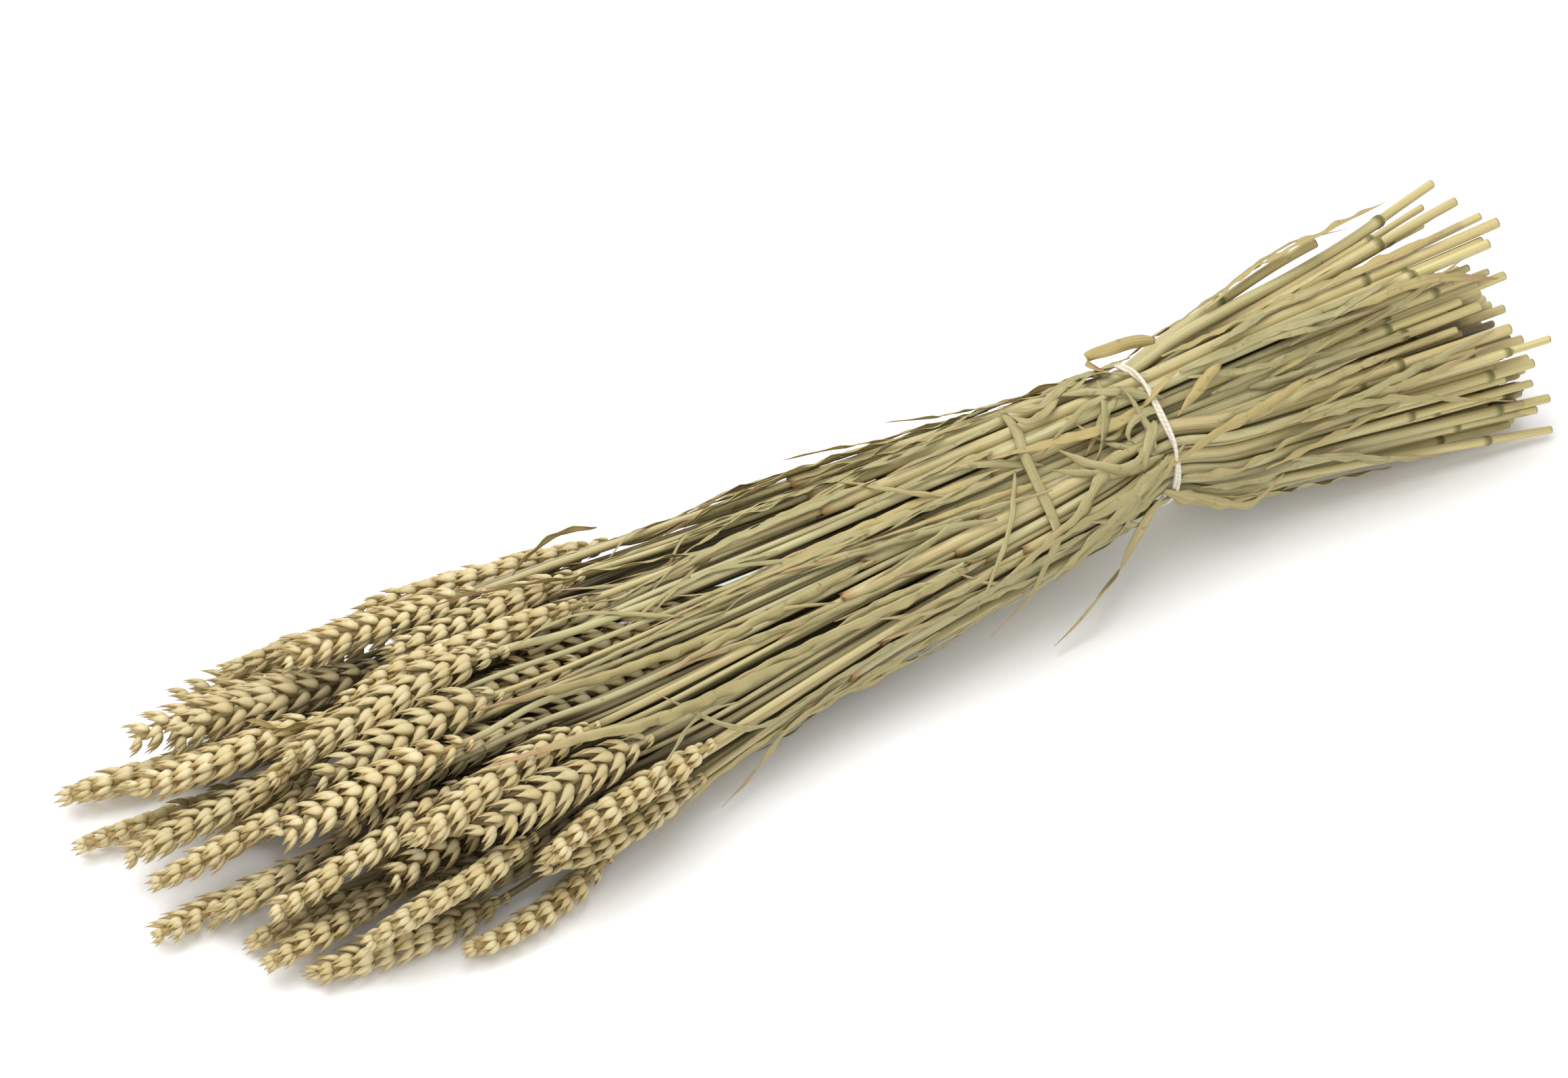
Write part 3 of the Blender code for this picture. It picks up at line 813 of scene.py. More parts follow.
def make_husk():
    """Dry chaff: papery scales, cream on their backs, tan at their feet and browner at their points. The
    darker feet are partly their own colour and partly painted shade of the crevices that they sit in.
    """
    facts = ("up", "side", "tone", "shade", "depth")
    material, tree, shader, fact = new_material(
        "dry_wheat_chaff", facts, IOR=1.45, Specular_IOR_Level=0.35
    )
    edge = add(tree, "ShaderNodeMath", {0: fact["side"]}, operation="ABSOLUTE")
    rim = add(tree, "ShaderNodeMapRange", {"Value": edge.outputs[0], "From Min": RIM_STARTS})
    turns = add(tree, "ShaderNodeMath", {0: fact["side"], 1: VEIN_TURNS}, operation="MULTIPLY")
    wave = add(tree, "ShaderNodeMath", {0: turns.outputs[0]}, operation="SINE")
    veins = add(tree, "ShaderNodeMapRange", {"Value": wave.outputs[0], "From Min": -1.0}).outputs[0]
    spots = blotches(tree, size_mm=2.4, start=0.56, full=0.75)
    base = layered(
        tree,
        husk_colour(tree, fact["up"]),
        (fact["tone"], 0.0, 1.0, colour("#C4B78D")),
        (fact["shade"], 0.0, 0.5, colour("#C0A970")),
        (rim.outputs[0], 0.0, 0.4, colour("#A98D55")),
        (veins, 0.0, 0.05, colour("#AD9358")),
        (spots, 0.0, 0.4, colour("#A98A52")),
        # Painted shade: scales deep between the stalks are darkened by how deep they lie
        (painted_shade_share(tree, fact["depth"], shallow_mm=6.0, deep_mm=17.0), 0.0, 0.65, colour(PAINTED_SHADE_COLOUR)),
    )
    surface(tree, shader, base, gloss=(spots, 0.5, 0.68), height=veins, depth_mm=0.015)
    return material


def make_straw():
    """Dry straw: a smooth satin skin with lengthwise veins, olive in the sheaths and yellow where bare."""
    material, tree, shader, fact = new_material(
        "dry_wheat_straw", (*STEM_FACTS, "depth"), IOR=1.48, Specular_IOR_Level=0.5
    )
    coarse = fibres(tree, across_mm=1.1, along_mm=70.0)
    fine = fibres(tree, across_mm=0.32, along_mm=26.0, shift=9.0)
    slow = fibres(tree, across_mm=30.0, along_mm=34.0, shift=4.0)
    specks = blotches(tree, size_mm=3.5, start=0.66, full=0.74)
    yellow = layered(tree, colour("#E2D08A"), (fact["tone"], 0.0, 1.0, colour("#D2BD74")))
    base = layered(
        tree,
        colour("#B9B482"),
        (slow, 0.0, 1.0, colour("#C9BE86")),
        (fact["tone"], 0.0, 1.0, colour("#A9A37C")),
        (fact["bare"], 0.0, 1.0, yellow),
        (fact["ripe"], 0.0, 0.75, colour("#C9AE72")),
        (coarse, -0.35, 1.0, colour("#8E8453")),
        (fine, -0.3, 0.85, colour("#D8CFA2")),
        (specks, 0.0, 0.45, colour("#6F5F34")),
        (fact["node"], 0.0, 1.0, colour("#6E6A38")),
        (fact["torn"], 0.0, 1.0, colour("#A07A48")),
        # Painted shade: the inner walls of the hollow cut ends and of the sheaths' mouths are drawn dark
        # brown
        (fact["hollow"], 0.0, 1.0, colour("#5B4A26")),
        # Painted shade: stems deep between the others are darkened by how deep they lie
        (painted_shade_share(tree, fact["depth"], shallow_mm=2.8, deep_mm=10.0), 0.0, 0.75, colour(PAINTED_SHADE_COLOUR)),
    )
    height = add(tree, "ShaderNodeMix", {"Factor": 0.5, "A": coarse, "B": fine}).outputs["Result"]
    surface(tree, shader, base, gloss=(fine, 0.34, 0.58), height=height, depth_mm=0.14)
    return material


def make_blade():
    """Dry leaf blade: matt and ribbed lengthwise, olive to ochre, with pinkish brown dead tips."""
    material, tree, shader, fact = new_material(
        "dry_wheat_leaf", ("tone", "dead", "depth"), IOR=1.45, Specular_IOR_Level=0.35
    )
    ribs = fibres(tree, across_mm=0.45, along_mm=60.0)
    slow = fibres(tree, across_mm=6.0, along_mm=18.0, shift=3.0)
    specks = blotches(tree, size_mm=4.0, start=0.6, full=0.72)
    base = layered(
        tree,
        colour("#9A9469"),
        (slow, -0.2, 1.2, colour("#C4BB8E")),
        (fact["tone"], 0.0, 1.0, colour("#C6B076")),
        (ribs, -0.3, 0.9, colour("#7F7547")),
        (fact["dead"], 0.0, 1.0, colour("#B08A68")),
        (specks, 0.0, 0.5, colour("#5F5632")),
        # Painted shade: blades deep between the stalks are darkened by how deep they lie
        (painted_shade_share(tree, fact["depth"], shallow_mm=3.0, deep_mm=10.0), 0.0, 0.7, colour(PAINTED_SHADE_COLOUR)),
    )
    surface(tree, shader, base, gloss=(ribs, 0.5, 0.72), height=ribs, depth_mm=0.16)
    return material


def make_cotton():
    """Cotton twine: matt off-white yarn laid at a slant round each strand, with painted shade in the
    grooves.
    """
    material, tree, shader, fact = new_material(
        "cotton_twine",
        ("run", "round"),
        Roughness=0.9,
        IOR=1.5,
        Specular_IOR_Level=0.2,
        Sheen_Weight=0.3,
        Sheen_Roughness=0.6,
    )
    along = add(tree, "ShaderNodeMath", {0: fact["run"], 1: 1 / (YARN_PITCH * MM)}, operation="MULTIPLY")
    around = add(tree, "ShaderNodeMath", {0: fact["round"], 1: YARN_TURNS}, operation="MULTIPLY")
    slant = add(tree, "ShaderNodeMath", {0: along.outputs[0], 1: around.outputs[0]}, operation="ADD")
    groove = add(tree, "ShaderNodeMath", {0: slant.outputs[0], 1: 1.0}, operation="PINGPONG").outputs[0]
    # Fibres are finer than the render shows, so they are drawn coarser
    place = add(tree, "ShaderNodeTexCoord").outputs["Object"]
    sockets = {"Vector": place, "Scale": 1 / (FIBRE_SIZE * MM), "Detail": 2.0}
    fibre = add(tree, "ShaderNodeTexNoise", sockets).outputs["Fac"]
    base = layered(
        tree,
        colour("#F1ECDF"),
        # Painted shade in the grooves between the turns of yarn
        (groove, 0.75, 0.0, colour("#CCC2AA")),
        (fibre, 0.0, 0.45, colour("#CFC5AD")),
        (blotches(tree, size_mm=5.0, start=0.45, full=0.75), 0.0, 0.3, colour("#B5A67E")),
    )
    height = add(tree, "ShaderNodeMix", {"Factor": 0.3, "A": groove, "B": fibre}).outputs["Result"]
    surface(tree, shader, base, gloss=None, height=height, depth_mm=0.06)
    return material


def make_paper():
    """Studio paper: plain matt white."""
    white = {"Base_Color": colour("#FAFAFA"), "Roughness": 0.95, "Specular_IOR_Level": 0.0}
    return new_material("white_studio_paper", **white)[0]


# Ears

# Scales of one spikelet: foot (outwards, sideways, along), splay sideways, lean outwards, the way its
# back faces, length, width and thickness
SCALES = (
    ((0.6, -1.7, 0.0), -12, 4, -66, 7.4, 4.2, 3.3),
    ((0.6, 1.7, 0.0), 12, 4, 66, 7.4, 4.2, 3.3),
    ((2.2, -1.2, 1.0), -12, 11, -38, 8.2, 3.2, 2.6),
    ((2.2, 1.2, 1.2), 12, 11, 38, 8.2, 3.2, 2.6),
    ((2.9, 0.0, 2.4), 0, 9, 4, 8.0, 3.0, 2.5),
)
# Places along a scale, with its width and thickness there, before the fine awn
SCALE_RINGS = (
    (0.0, 0.44, 0.5),
    (0.1, 0.86, 0.9),
    (0.3, 1.0, 1.0),
    (0.6, 0.84, 0.8),
    (0.88, 0.36, 0.36),
)
SCALE_BOW = 0.5
INNER_SIDE = 0.45
AWN_LENGTH = (0.8, 2.4)
AWN_WIDTH = 0.03
SCALE_ANGLES = np.radians([-90, -45, 0, 45, 90, 180])
SCALE_CHANCE = 3.5
SCALE_LENGTH_CHANCE = (0.94, 1.06)


def turn_about(axis, degrees):
    return np.array(Matrix.Rotation(math.radians(degrees), 3, axis))


def husk_scale(shapes, chance, scale):
    """One boat-shaped scale with a blunt foot and a fine point.

    X is outwards from the ear's axis, Y sideways and Z along the ear.
    """
    foot, splay, lean, face, length, width, thick = scale
    length *= chance.uniform(*SCALE_LENGTH_CHANCE)
    awn = chance.uniform(*AWN_LENGTH)
    rings = np.array([*SCALE_RINGS, (1 + awn / length, AWN_WIDTH, AWN_WIDTH)])
    cosine = np.cos(SCALE_ANGLES)[None] * np.ones((len(rings), 1))
    x = cosine * rings[:, 2:] * thick / 2
    x = np.where(cosine < 0, INNER_SIDE * x, x) + SCALE_BOW * np.sin(math.pi * rings[:, :1])
    y = np.sin(SCALE_ANGLES)[None] * rings[:, 1:2] * width / 2
    z = rings[:, :1] * length * np.ones_like(x)
    splay += chance.uniform(-SCALE_CHANCE, SCALE_CHANCE)
    lean += chance.uniform(-SCALE_CHANCE, SCALE_CHANCE)
    local = np.stack([x, y, z], axis=-1) @ turn_about("Z", face).T
    local = local @ turn_about("X", -splay).T @ turn_about("Y", lean).T + foot
    local = local @ turn_about("Y", math.degrees(SPIKELET_LEAN)).T
    side = np.broadcast_to(np.sin(SCALE_ANGLES), x.shape)
    shapes.add(local, local, up=np.clip(rings[:, 0], 0, 1), side=side)


def make_spikelets(material):
    """A few kinds of spikelet, each with its foot at the origin, in a collection of their own."""
    kinds = bpy.data.collections.new("Spikelets")
    for kind in range(SPIKELET_KINDS):
        chance = np.random.default_rng(kind)
        shapes = Shapes(("up", "side"))
        for scale in SCALES:
            husk_scale(shapes, chance, scale)
        spikelet = shapes.finish(f"spikelet_{kind}", np.zeros(3), material)
        bpy.context.scene.collection.objects.unlink(spikelet)
        kinds.objects.link(spikelet)
    return kinds


def spikelet_turn(tree, index, seed):
    """Turns each spikelet outwards, on the two sides of the ear's axis in turn, with a little wobble."""
    parity = add(tree, "ShaderNodeMath", {0: index, 1: 2.0}, operation="MODULO").outputs[0]
    sign = add(tree, "ShaderNodeMath", {0: parity, 1: 2.0, 2: -1.0}, operation="MULTIPLY_ADD").outputs[0]
    normal = add(tree, "GeometryNodeInputNormal").outputs["Normal"]
    outwards = add(tree, "ShaderNodeVectorMath", {0: normal, "Scale": sign}, operation="SCALE")
    tangent = add(tree, "GeometryNodeInputTangent").outputs["Tangent"]
    along = add(
        tree, "FunctionNodeAlignRotationToVector", {"Vector": tangent}, axis="Z", pivot_axis="AUTO"
    )
    facing = add(
        tree,
        "FunctionNodeAlignRotationToVector",
        {"Rotation": along.outputs[0], "Vector": outwards.outputs["Vector"]},
        axis="X",
        pivot_axis="Z",
    )
    wobble = add(
        tree,
        "FunctionNodeRandomValue",
        {"Min": [-most for most in SPIKELET_WOBBLE], "Max": SPIKELET_WOBBLE, "Seed": seed},
        data_type="FLOAT_VECTOR",
    )
    return add(
        tree,
        "FunctionNodeRotateRotation",
        {"Rotation": facing.outputs[0], "Rotate By": wobble.outputs[0]},
        rotation_space="LOCAL",
    ).outputs[0]


def spikelet_size(tree, along_ear, seed):
    """How large each spikelet is: by its place along the ear, by its ear and by chance."""
    growth = add(tree, "ShaderNodeFloatCurve", {"Value": along_ear})
    points = growth.mapping.curves[0].points
    first, *others, last = SPIKELET_GROWTH
    points[0].location = first
    points[1].location = last
    for place, size in others:
        points.new(place, size)
    growth.mapping.update()
    own = add(tree, "GeometryNodeInputNamedAttribute", {"Name": "size"}, data_type="FLOAT")
    sockets = {2: SPIKELET_SIZE[0], 3: SPIKELET_SIZE[1], "Seed": seed}
    chance = add(tree, "FunctionNodeRandomValue", sockets, data_type="FLOAT")
    size = growth.outputs[0]
    for factor in (own.outputs["Attribute"], chance.outputs[1]):
        size = add(tree, "ShaderNodeMath", {0: size, 1: factor}, operation="MULTIPLY").outputs[0]
    return size


def ear_tree(kinds, material):
    """Sets spikelets along each ear's axis, on its two sides in turn, small at both ends."""
    tree = bpy.data.node_groups.new("Wheat ears", "GeometryNodeTree")
    face = tree.interface
    face.new_socket("Axes", in_out="INPUT", socket_type="NodeSocketGeometry")
    for name, value in (("Spacing", SPIKELET_SPACING * MM), ("Core radius", EAR_CORE_RADIUS * MM)):
        face.new_socket(name, in_out="INPUT", socket_type="NodeSocketFloat").default_value = value
    face.new_socket("Seed", in_out="INPUT", socket_type="NodeSocketInt").default_value = EAR_SEED
    face.new_socket("Ears", in_out="OUTPUT", socket_type="NodeSocketGeometry")
    given = add(tree, "NodeGroupInput").outputs
    curves = add(tree, "GeometryNodeMeshToCurve", {"Mesh": given["Axes"]})
    level = add(tree, "GeometryNodeSetCurveNormal", {"Curve": curves.outputs[0]}, mode="Z_UP")
    roll = add(tree, "GeometryNodeInputNamedAttribute", {"Name": "roll"}, data_type="FLOAT")
    sockets = {"Curve": level.outputs[0], "Tilt": roll.outputs["Attribute"]}
    rolled = add(tree, "GeometryNodeSetCurveTilt", sockets)
    sockets = {"Curve": rolled.outputs[0], "Length": given["Spacing"]}
    steps = add(tree, "GeometryNodeResampleCurve", sockets, mode="LENGTH").outputs[0]
    spline = add(tree, "GeometryNodeSplineParameter").outputs
    sockets = {2: 0.0, 3: 1.0, "Seed": SHADE_SEED}
    shade = add(tree, "FunctionNodeRandomValue", sockets, data_type="FLOAT")
    sockets = {"Geometry": steps, "Name": "shade", "Value": shade.outputs[1]}
    feet = add(tree, "GeometryNodeStoreNamedAttribute", sockets, data_type="FLOAT", domain="POINT")
    sockets = {"Collection": kinds, "Separate Children": True, "Reset Children": True}
    source = add(tree, "GeometryNodeCollectionInfo", sockets)
    sockets = {4: 0, 5: SPIKELET_KINDS - 1, "Seed": KIND_SEED}
    kind = add(tree, "FunctionNodeRandomValue", sockets, data_type="INT")
    spikelets = add(
        tree,
        "GeometryNodeInstanceOnPoints",
        {
            "Points": feet.outputs[0],
            "Instance": source.outputs[0],
            "Pick Instance": True,
            "Instance Index": kind.outputs[2],
            "Rotation": spikelet_turn(tree, spline["Index"], given["Seed"]),
            "Scale": spikelet_size(tree, spline["Factor"], given["Seed"]),
        },
    )
    sockets = {"Resolution": CORE_SIDES, "Radius": given["Core radius"]}
    section = add(tree, "GeometryNodeCurvePrimitiveCircle", sockets)
    sockets = {"Curve": steps, "Profile Curve": section.outputs[0], "Fill Caps": True}
    core = add(tree, "GeometryNodeCurveToMesh", sockets)
    both = add(tree, "GeometryNodeJoinGeometry")
    tree.links.new(core.outputs[0], both.inputs[0])
    tree.links.new(spikelets.outputs[0], both.inputs[0])
    add(tree, "NodeGroupOutput", {"Ears": finished(tree, both, material)})
    return tree


def finished(tree, made, material):
    """What a tree made, as one real smooth mesh with its material."""
    real = add(tree, "GeometryNodeRealizeInstances", {"Geometry": made.outputs[0]})
    smooth = add(tree, "GeometryNodeSetShadeSmooth", {"Geometry": real.outputs[0]})
    sockets = {"Geometry": smooth.outputs[0], "Material": material}
    return add(tree, "GeometryNodeSetMaterial", sockets).outputs[0]


def grown(obj, tree, inputs=()):
    """The object with a tree's result as its plain mesh."""
    modifier = obj.modifiers.new("Growth", "NODES")
    modifier.node_group = tree
    named = {item.name: item.identifier for item in tree.interface.items_tree if item.in_out == "INPUT"}
    for name, value in dict(inputs).items():
        modifier[named[name]] = value
    graph = bpy.context.evaluated_depsgraph_get()
    mesh = bpy.data.meshes.new_from_object(obj.evaluated_get(graph))
    obj.modifiers.remove(modifier)
    old = obj.data
    obj.data = mesh
    bpy.data.meshes.remove(old)
    return obj


def ears_piece(name, bunch, stalks, skin, shift, tree):
    """The ears of some stalks as one piece."""
    places, edges, facts = [], [], {"roll": [], "size": [], "tone": []}
    for stalk in stalks:
        chance = np.random.default_rng(EAR_SEEDS + stalk)
        ends = (bunch.base[stalk, 0] + EAR_ENDS[0], bunch.tip[stalk, 0] + EAR_ENDS[1])
        x = np.linspace(*ends, EAR_AXIS_POINTS)
        first = len(places)
        places += list(bunch.line(stalk, x) * MM + shift)
        edges += [(first + i, first + i + 1) for i in range(EAR_AXIS_POINTS - 1)]
        for fact_name, value in (
            ("roll", chance.uniform(-EAR_ROLL, EAR_ROLL)),
            ("size", chance.uniform(*EAR_SIZE)),
            ("tone", chance.uniform(0, 1) ** 2),
        ):
            facts[fact_name] += [value] * EAR_AXIS_POINTS
    mesh = bpy.data.meshes.new(name)
    mesh.from_pydata([tuple(place) for place in places], edges, [])
    for fact_name, values in facts.items():
        mesh.attributes.new(fact_name, "FLOAT", "POINT").data.foreach_set("value", values)
    obj = bpy.data.objects.new(name, mesh)
    bpy.context.scene.collection.objects.link(obj)
    return rested(grown(obj, tree, {"Seed": EAR_SEED + stalks[0]}), skin, shift)


def rested(obj, skin, shift):
    """Presses what would sink into the floor up against it, softly, and notes how deep each point lies."""
    places = np.empty(3 * len(obj.data.vertices))
    obj.data.vertices.foreach_get("co", places)
    places = places.reshape(-1, 3)
    height = places[:, 2] / MM
    soft = FLOOR_GAP + FLOOR_SOFT * np.exp((height - FLOOR_GAP - FLOOR_SOFT) / FLOOR_SOFT)
    places[:, 2] = MM * np.where(height < FLOOR_GAP + FLOOR_SOFT, soft, height)
    obj.data.vertices.foreach_set("co", places.ravel())
    depth = obj.data.attributes.new("depth", "FLOAT", "POINT")
    depth.data.foreach_set("value", skin.depth((places - shift) / MM))
    obj.data.update()
    return obj


# Stems


def rings_round(route, run, radii, angles):
    """Rings round a route, and the same rings laid out straight. `run` is the route's true direction."""
    tangent = unit(np.gradient(run, axis=0))
    side = unit(np.cross([0.0, 0.0, 1.0], tangent))
    up = np.cross(tangent, side)
    c, s = np.cos(angles)[None, :, None], np.sin(angles)[None, :, None]
    rings = route[:, None] + radii[..., None] * (c * side[:, None] + s * up[:, None])
    length = np.broadcast_to(-route[:, :1], radii.shape)
    flat = np.stack([length, radii * c[..., 0], radii * s[..., 0]], axis=-1)
    return rings, flat


def wall(chance, x, radius, angles):
    """Radius of a stem's wall, (along, around): a little oval, with the sheath's free edge as a ledge."""
    flat = chance.uniform(0.0, OVAL)
    turn = chance.uniform(0, TURN)
    edge = chance.uniform(0, TURN)
    drift = (x - x[0])[:, None] / OVAL_DRIFT
    oval = 1 + flat * np.cos(2 * (angles[None] - turn - drift))
    return radius[:, None] * oval + SHEATH_EDGE * (((angles[None] - edge) % TURN) / TURN)


class Stem:
    """One stem's sizes, drawn by chance, and its centreline."""

    def __init__(self, seed, line, cut_x, base_x, size=1.0, pinch=None):
        self.chance = np.random.default_rng(seed)
        self.line = line
        self.cut_x = cut_x
        self.base_x = base_x
        self.pinch = pinch
        self.node_x = cut_x - self.chance.uniform(*NODE_FROM_CUT)
        self.mouth_x = max(self.chance.uniform(*MOUTH_X), base_x + MOUTH_CLEAR)
        self.sheath = size * self.chance.uniform(*SHEATH_RADIUS)
        self.bare = self.sheath * self.chance.uniform(*BARE_SHARE)
        self.neck = min(self.bare * NECK_MOST, self.chance.uniform(*NECK_WIDTH))
        self.looks = {
            "tone": self.chance.uniform(0, 1),
            "ripe": self.chance.uniform(0, 1) ** 2,
        }
        self.own = np.array([self.chance.uniform(0, OWN_FIBRES), 0.0, 0.0])
        self.angles = np.linspace(0, TURN, STEM_SIDES, endpoint=False)

    def add(self, shapes, x, radii, own=1.0, **facts):
        """Rings at each x. Where x doubles back, the wall turns inwards at an open end."""
        if self.pinch:
            radii = radii * np.interp(np.abs(x), *self.pinch)[:, None]
        run = np.linspace(x.max(), x.min(), len(x))
        rings, flat = rings_round(self.line(x), self.line(run), radii, self.angles)
        if "ragged" in facts:
            rings[..., 0] -= facts.pop("ragged")
        blank = {name: 0.0 for name in STEM_FACTS}
        shapes.add(rings, flat + own * self.own, **{**blank, **self.looks, **facts})

    def add_foot(self, shapes):
        """The bare internode, cut off square and hollow."""
        inner = self.bare - HOLLOW_WALL
        x = self.cut_x - np.array([HOLLOW_DEPTH, 1.0, 0.0, 0.8])
        radius = np.array([inner * 0.9, inner, self.bare - CUT_EDGE, self.bare])
        rest = np.linspace(self.cut_x - FOOT_FROM_CUT, self.node_x - 1, FOOT_STEPS)
        x = np.concatenate([x, rest])
        radius = np.concatenate([radius, np.full(len(rest), self.bare)])
        # Painted shade inside the hollow of the cut end
        hollow = np.concatenate([[1.0, 0.9, 0.2, 0.0], np.zeros(len(rest))])
        bare = np.concatenate([[1.0] * 4, np.linspace(1.0, 0.8, len(rest))])
        self.add(shapes, x, wall(self.chance, x, radius, self.angles), bare=bare, hollow=hollow)

    def add_sheath(self, shapes):
        """The node and the sheath that grows from it, up to its torn mouth."""
        past, swell, dark = np.array(NODE_RINGS).T
        bump_x = self.node_x + past
        rest_x = np.arange(bump_x[-1] - SHEATH_STEP, self.mouth_x + 1, -SHEATH_STEP)
        outer_x = np.concatenate([bump_x, rest_x, [self.mouth_x]])
        x = np.concatenate([outer_x, [self.mouth_x + 0.5, self.mouth_x + MOUTH_LENGTH]])
        radius = self.sheath + SHEATH_WAVE[0] * np.sin(x / SHEATH_WAVE[1] + 9 * self.looks["tone"])
        radius[:3] = np.linspace(self.bare, self.sheath, 3)
        radii = wall(self.chance, x, radius, self.angles)
        radii[: len(swell)] *= 1 + NODE_SWELL * swell[:, None]
        radii[-2:] -= [[MOUTH_WALL], [2 * MOUTH_WALL]]
        count = len(x)
        node = np.zeros(count)
        node[: len(dark)] = dark
        torn = np.clip(1 - (x - self.mouth_x) / MOUTH_LENGTH, 0, 1)
        ragged = np.zeros((count, STEM_SIDES))
        tear = self.chance.uniform(-MOUTH_RAGGED, MOUTH_RAGGED, STEM_SIDES)
        ragged[-4:-1] = np.array([[0.3], [1.0], [1.0]]) * tear
        # Painted shade inside the sheath's mouth
        hollow = np.concatenate([np.zeros(count - 2), [0.5, 1.0]])
        yellow = YELLOW_SHARE * np.clip((x - self.node_x) / YELLOW_WITHIN + 1, 0, 1)
        facts = {"bare": yellow, "node": node, "torn": torn, "hollow": hollow, "ragged": ragged}
        self.add(shapes, x, radii, **facts)

    def add_neck(self, shapes):
        """The thin neck that comes out of the sheath and carries the ear."""
        x = np.linspace(self.mouth_x + MOUTH_LENGTH + 2, self.base_x - 3, NECK_STEPS)
        radius = np.full(len(x), self.neck)
        radii = wall(self.chance, x, radius, self.angles) - SHEATH_EDGE / 2
        collar = COLLAR_BROWN * np.clip(1 - np.abs(x - self.base_x - 1) / COLLAR_REACH, 0, 1)
        self.add(shapes, x, radii, own=NECK_APART, torn=collar)


def stalk_stem(bunch, stalk):
    def line(x):
        return bunch.line(stalk, x)

    return Stem(STEM_SEEDS + stalk, line, bunch.cut[stalk, 0], bunch.base[stalk, 0])


def stems_piece(name, stems, skin, shift, material):
    """Some stems as one piece."""
    shapes = Shapes(STEM_FACTS)
    for stem in stems:
        stem.add_foot(shapes)
        stem.add_sheath(shapes)
        stem.add_neck(shapes)
    return shapes.finish(name, shift, material, skin)


def filler_stems(bunch):
    """Thinner stems in the grooves between an outer stalk and its neighbours, which dive under the ears."""
    places = np.array([bunch.line(k, FILLER_AT)[0, 1:] for k in range(bunch.count)])
    middle = (places.min(axis=0) + places.max(axis=0)) / 2
    pairs = []
    for a in range(len(OUTER_EARS)):
        for b in range(a + 1, bunch.count):
            gap = np.linalg.norm(places[a] - places[b])
            if FILLER_GAP[0] < gap < FILLER_GAP[1]:
                outwards = np.linalg.norm((places[a] + places[b]) / 2 - middle)
                pairs.append((gap - FILLER_OUTER_FIRST * outwards, a, b))
    stems = []
    for rank, (_, a, b) in enumerate(sorted(pairs)[:FILLERS]):
        chance = np.random.default_rng(FILLER_SEEDS[0] + rank)
        share = chance.uniform(*FILLER_BETWEEN)
        end_x = max(bunch.base[a, 0], bunch.base[b, 0]) - chance.uniform(*FILLER_ENDS)
        wander = chance.uniform(0, TURN)

        def line(x, a=a, b=b, share=share, end_x=end_x, wander=wander):
            x = np.asarray(x, float)
            route = share * bunch.line(a, x) + (1 - share) * bunch.line(b, x)
            inwards = unit(np.array([0.0, *middle]) - route * [0, 1, 1])
            dive = FILLER_DIVE * np.clip(1 - (x - end_x) / FILLER_DIVE_WITHIN, 0, 1) ** 2
            sway = FILLER_WANDER[0] * np.sin(x / FILLER_WANDER[1] + wander)
            route += inwards * (FILLER_SINK + dive + sway)[:, None]
            route[:, 2] = np.maximum(route[:, 2], FILLER_HEIGHT)
            return route

        cut_x = min(bunch.cut[a, 0], bunch.cut[b, 0]) - chance.uniform(0, FILLER_CUT_SHORT)
        size = chance.uniform(*FILLER_SIZE)
        stems.append(Stem(FILLER_SEEDS[1] + rank, line, cut_x, end_x, size, FILLER_PINCH))
    return stems


# Cord


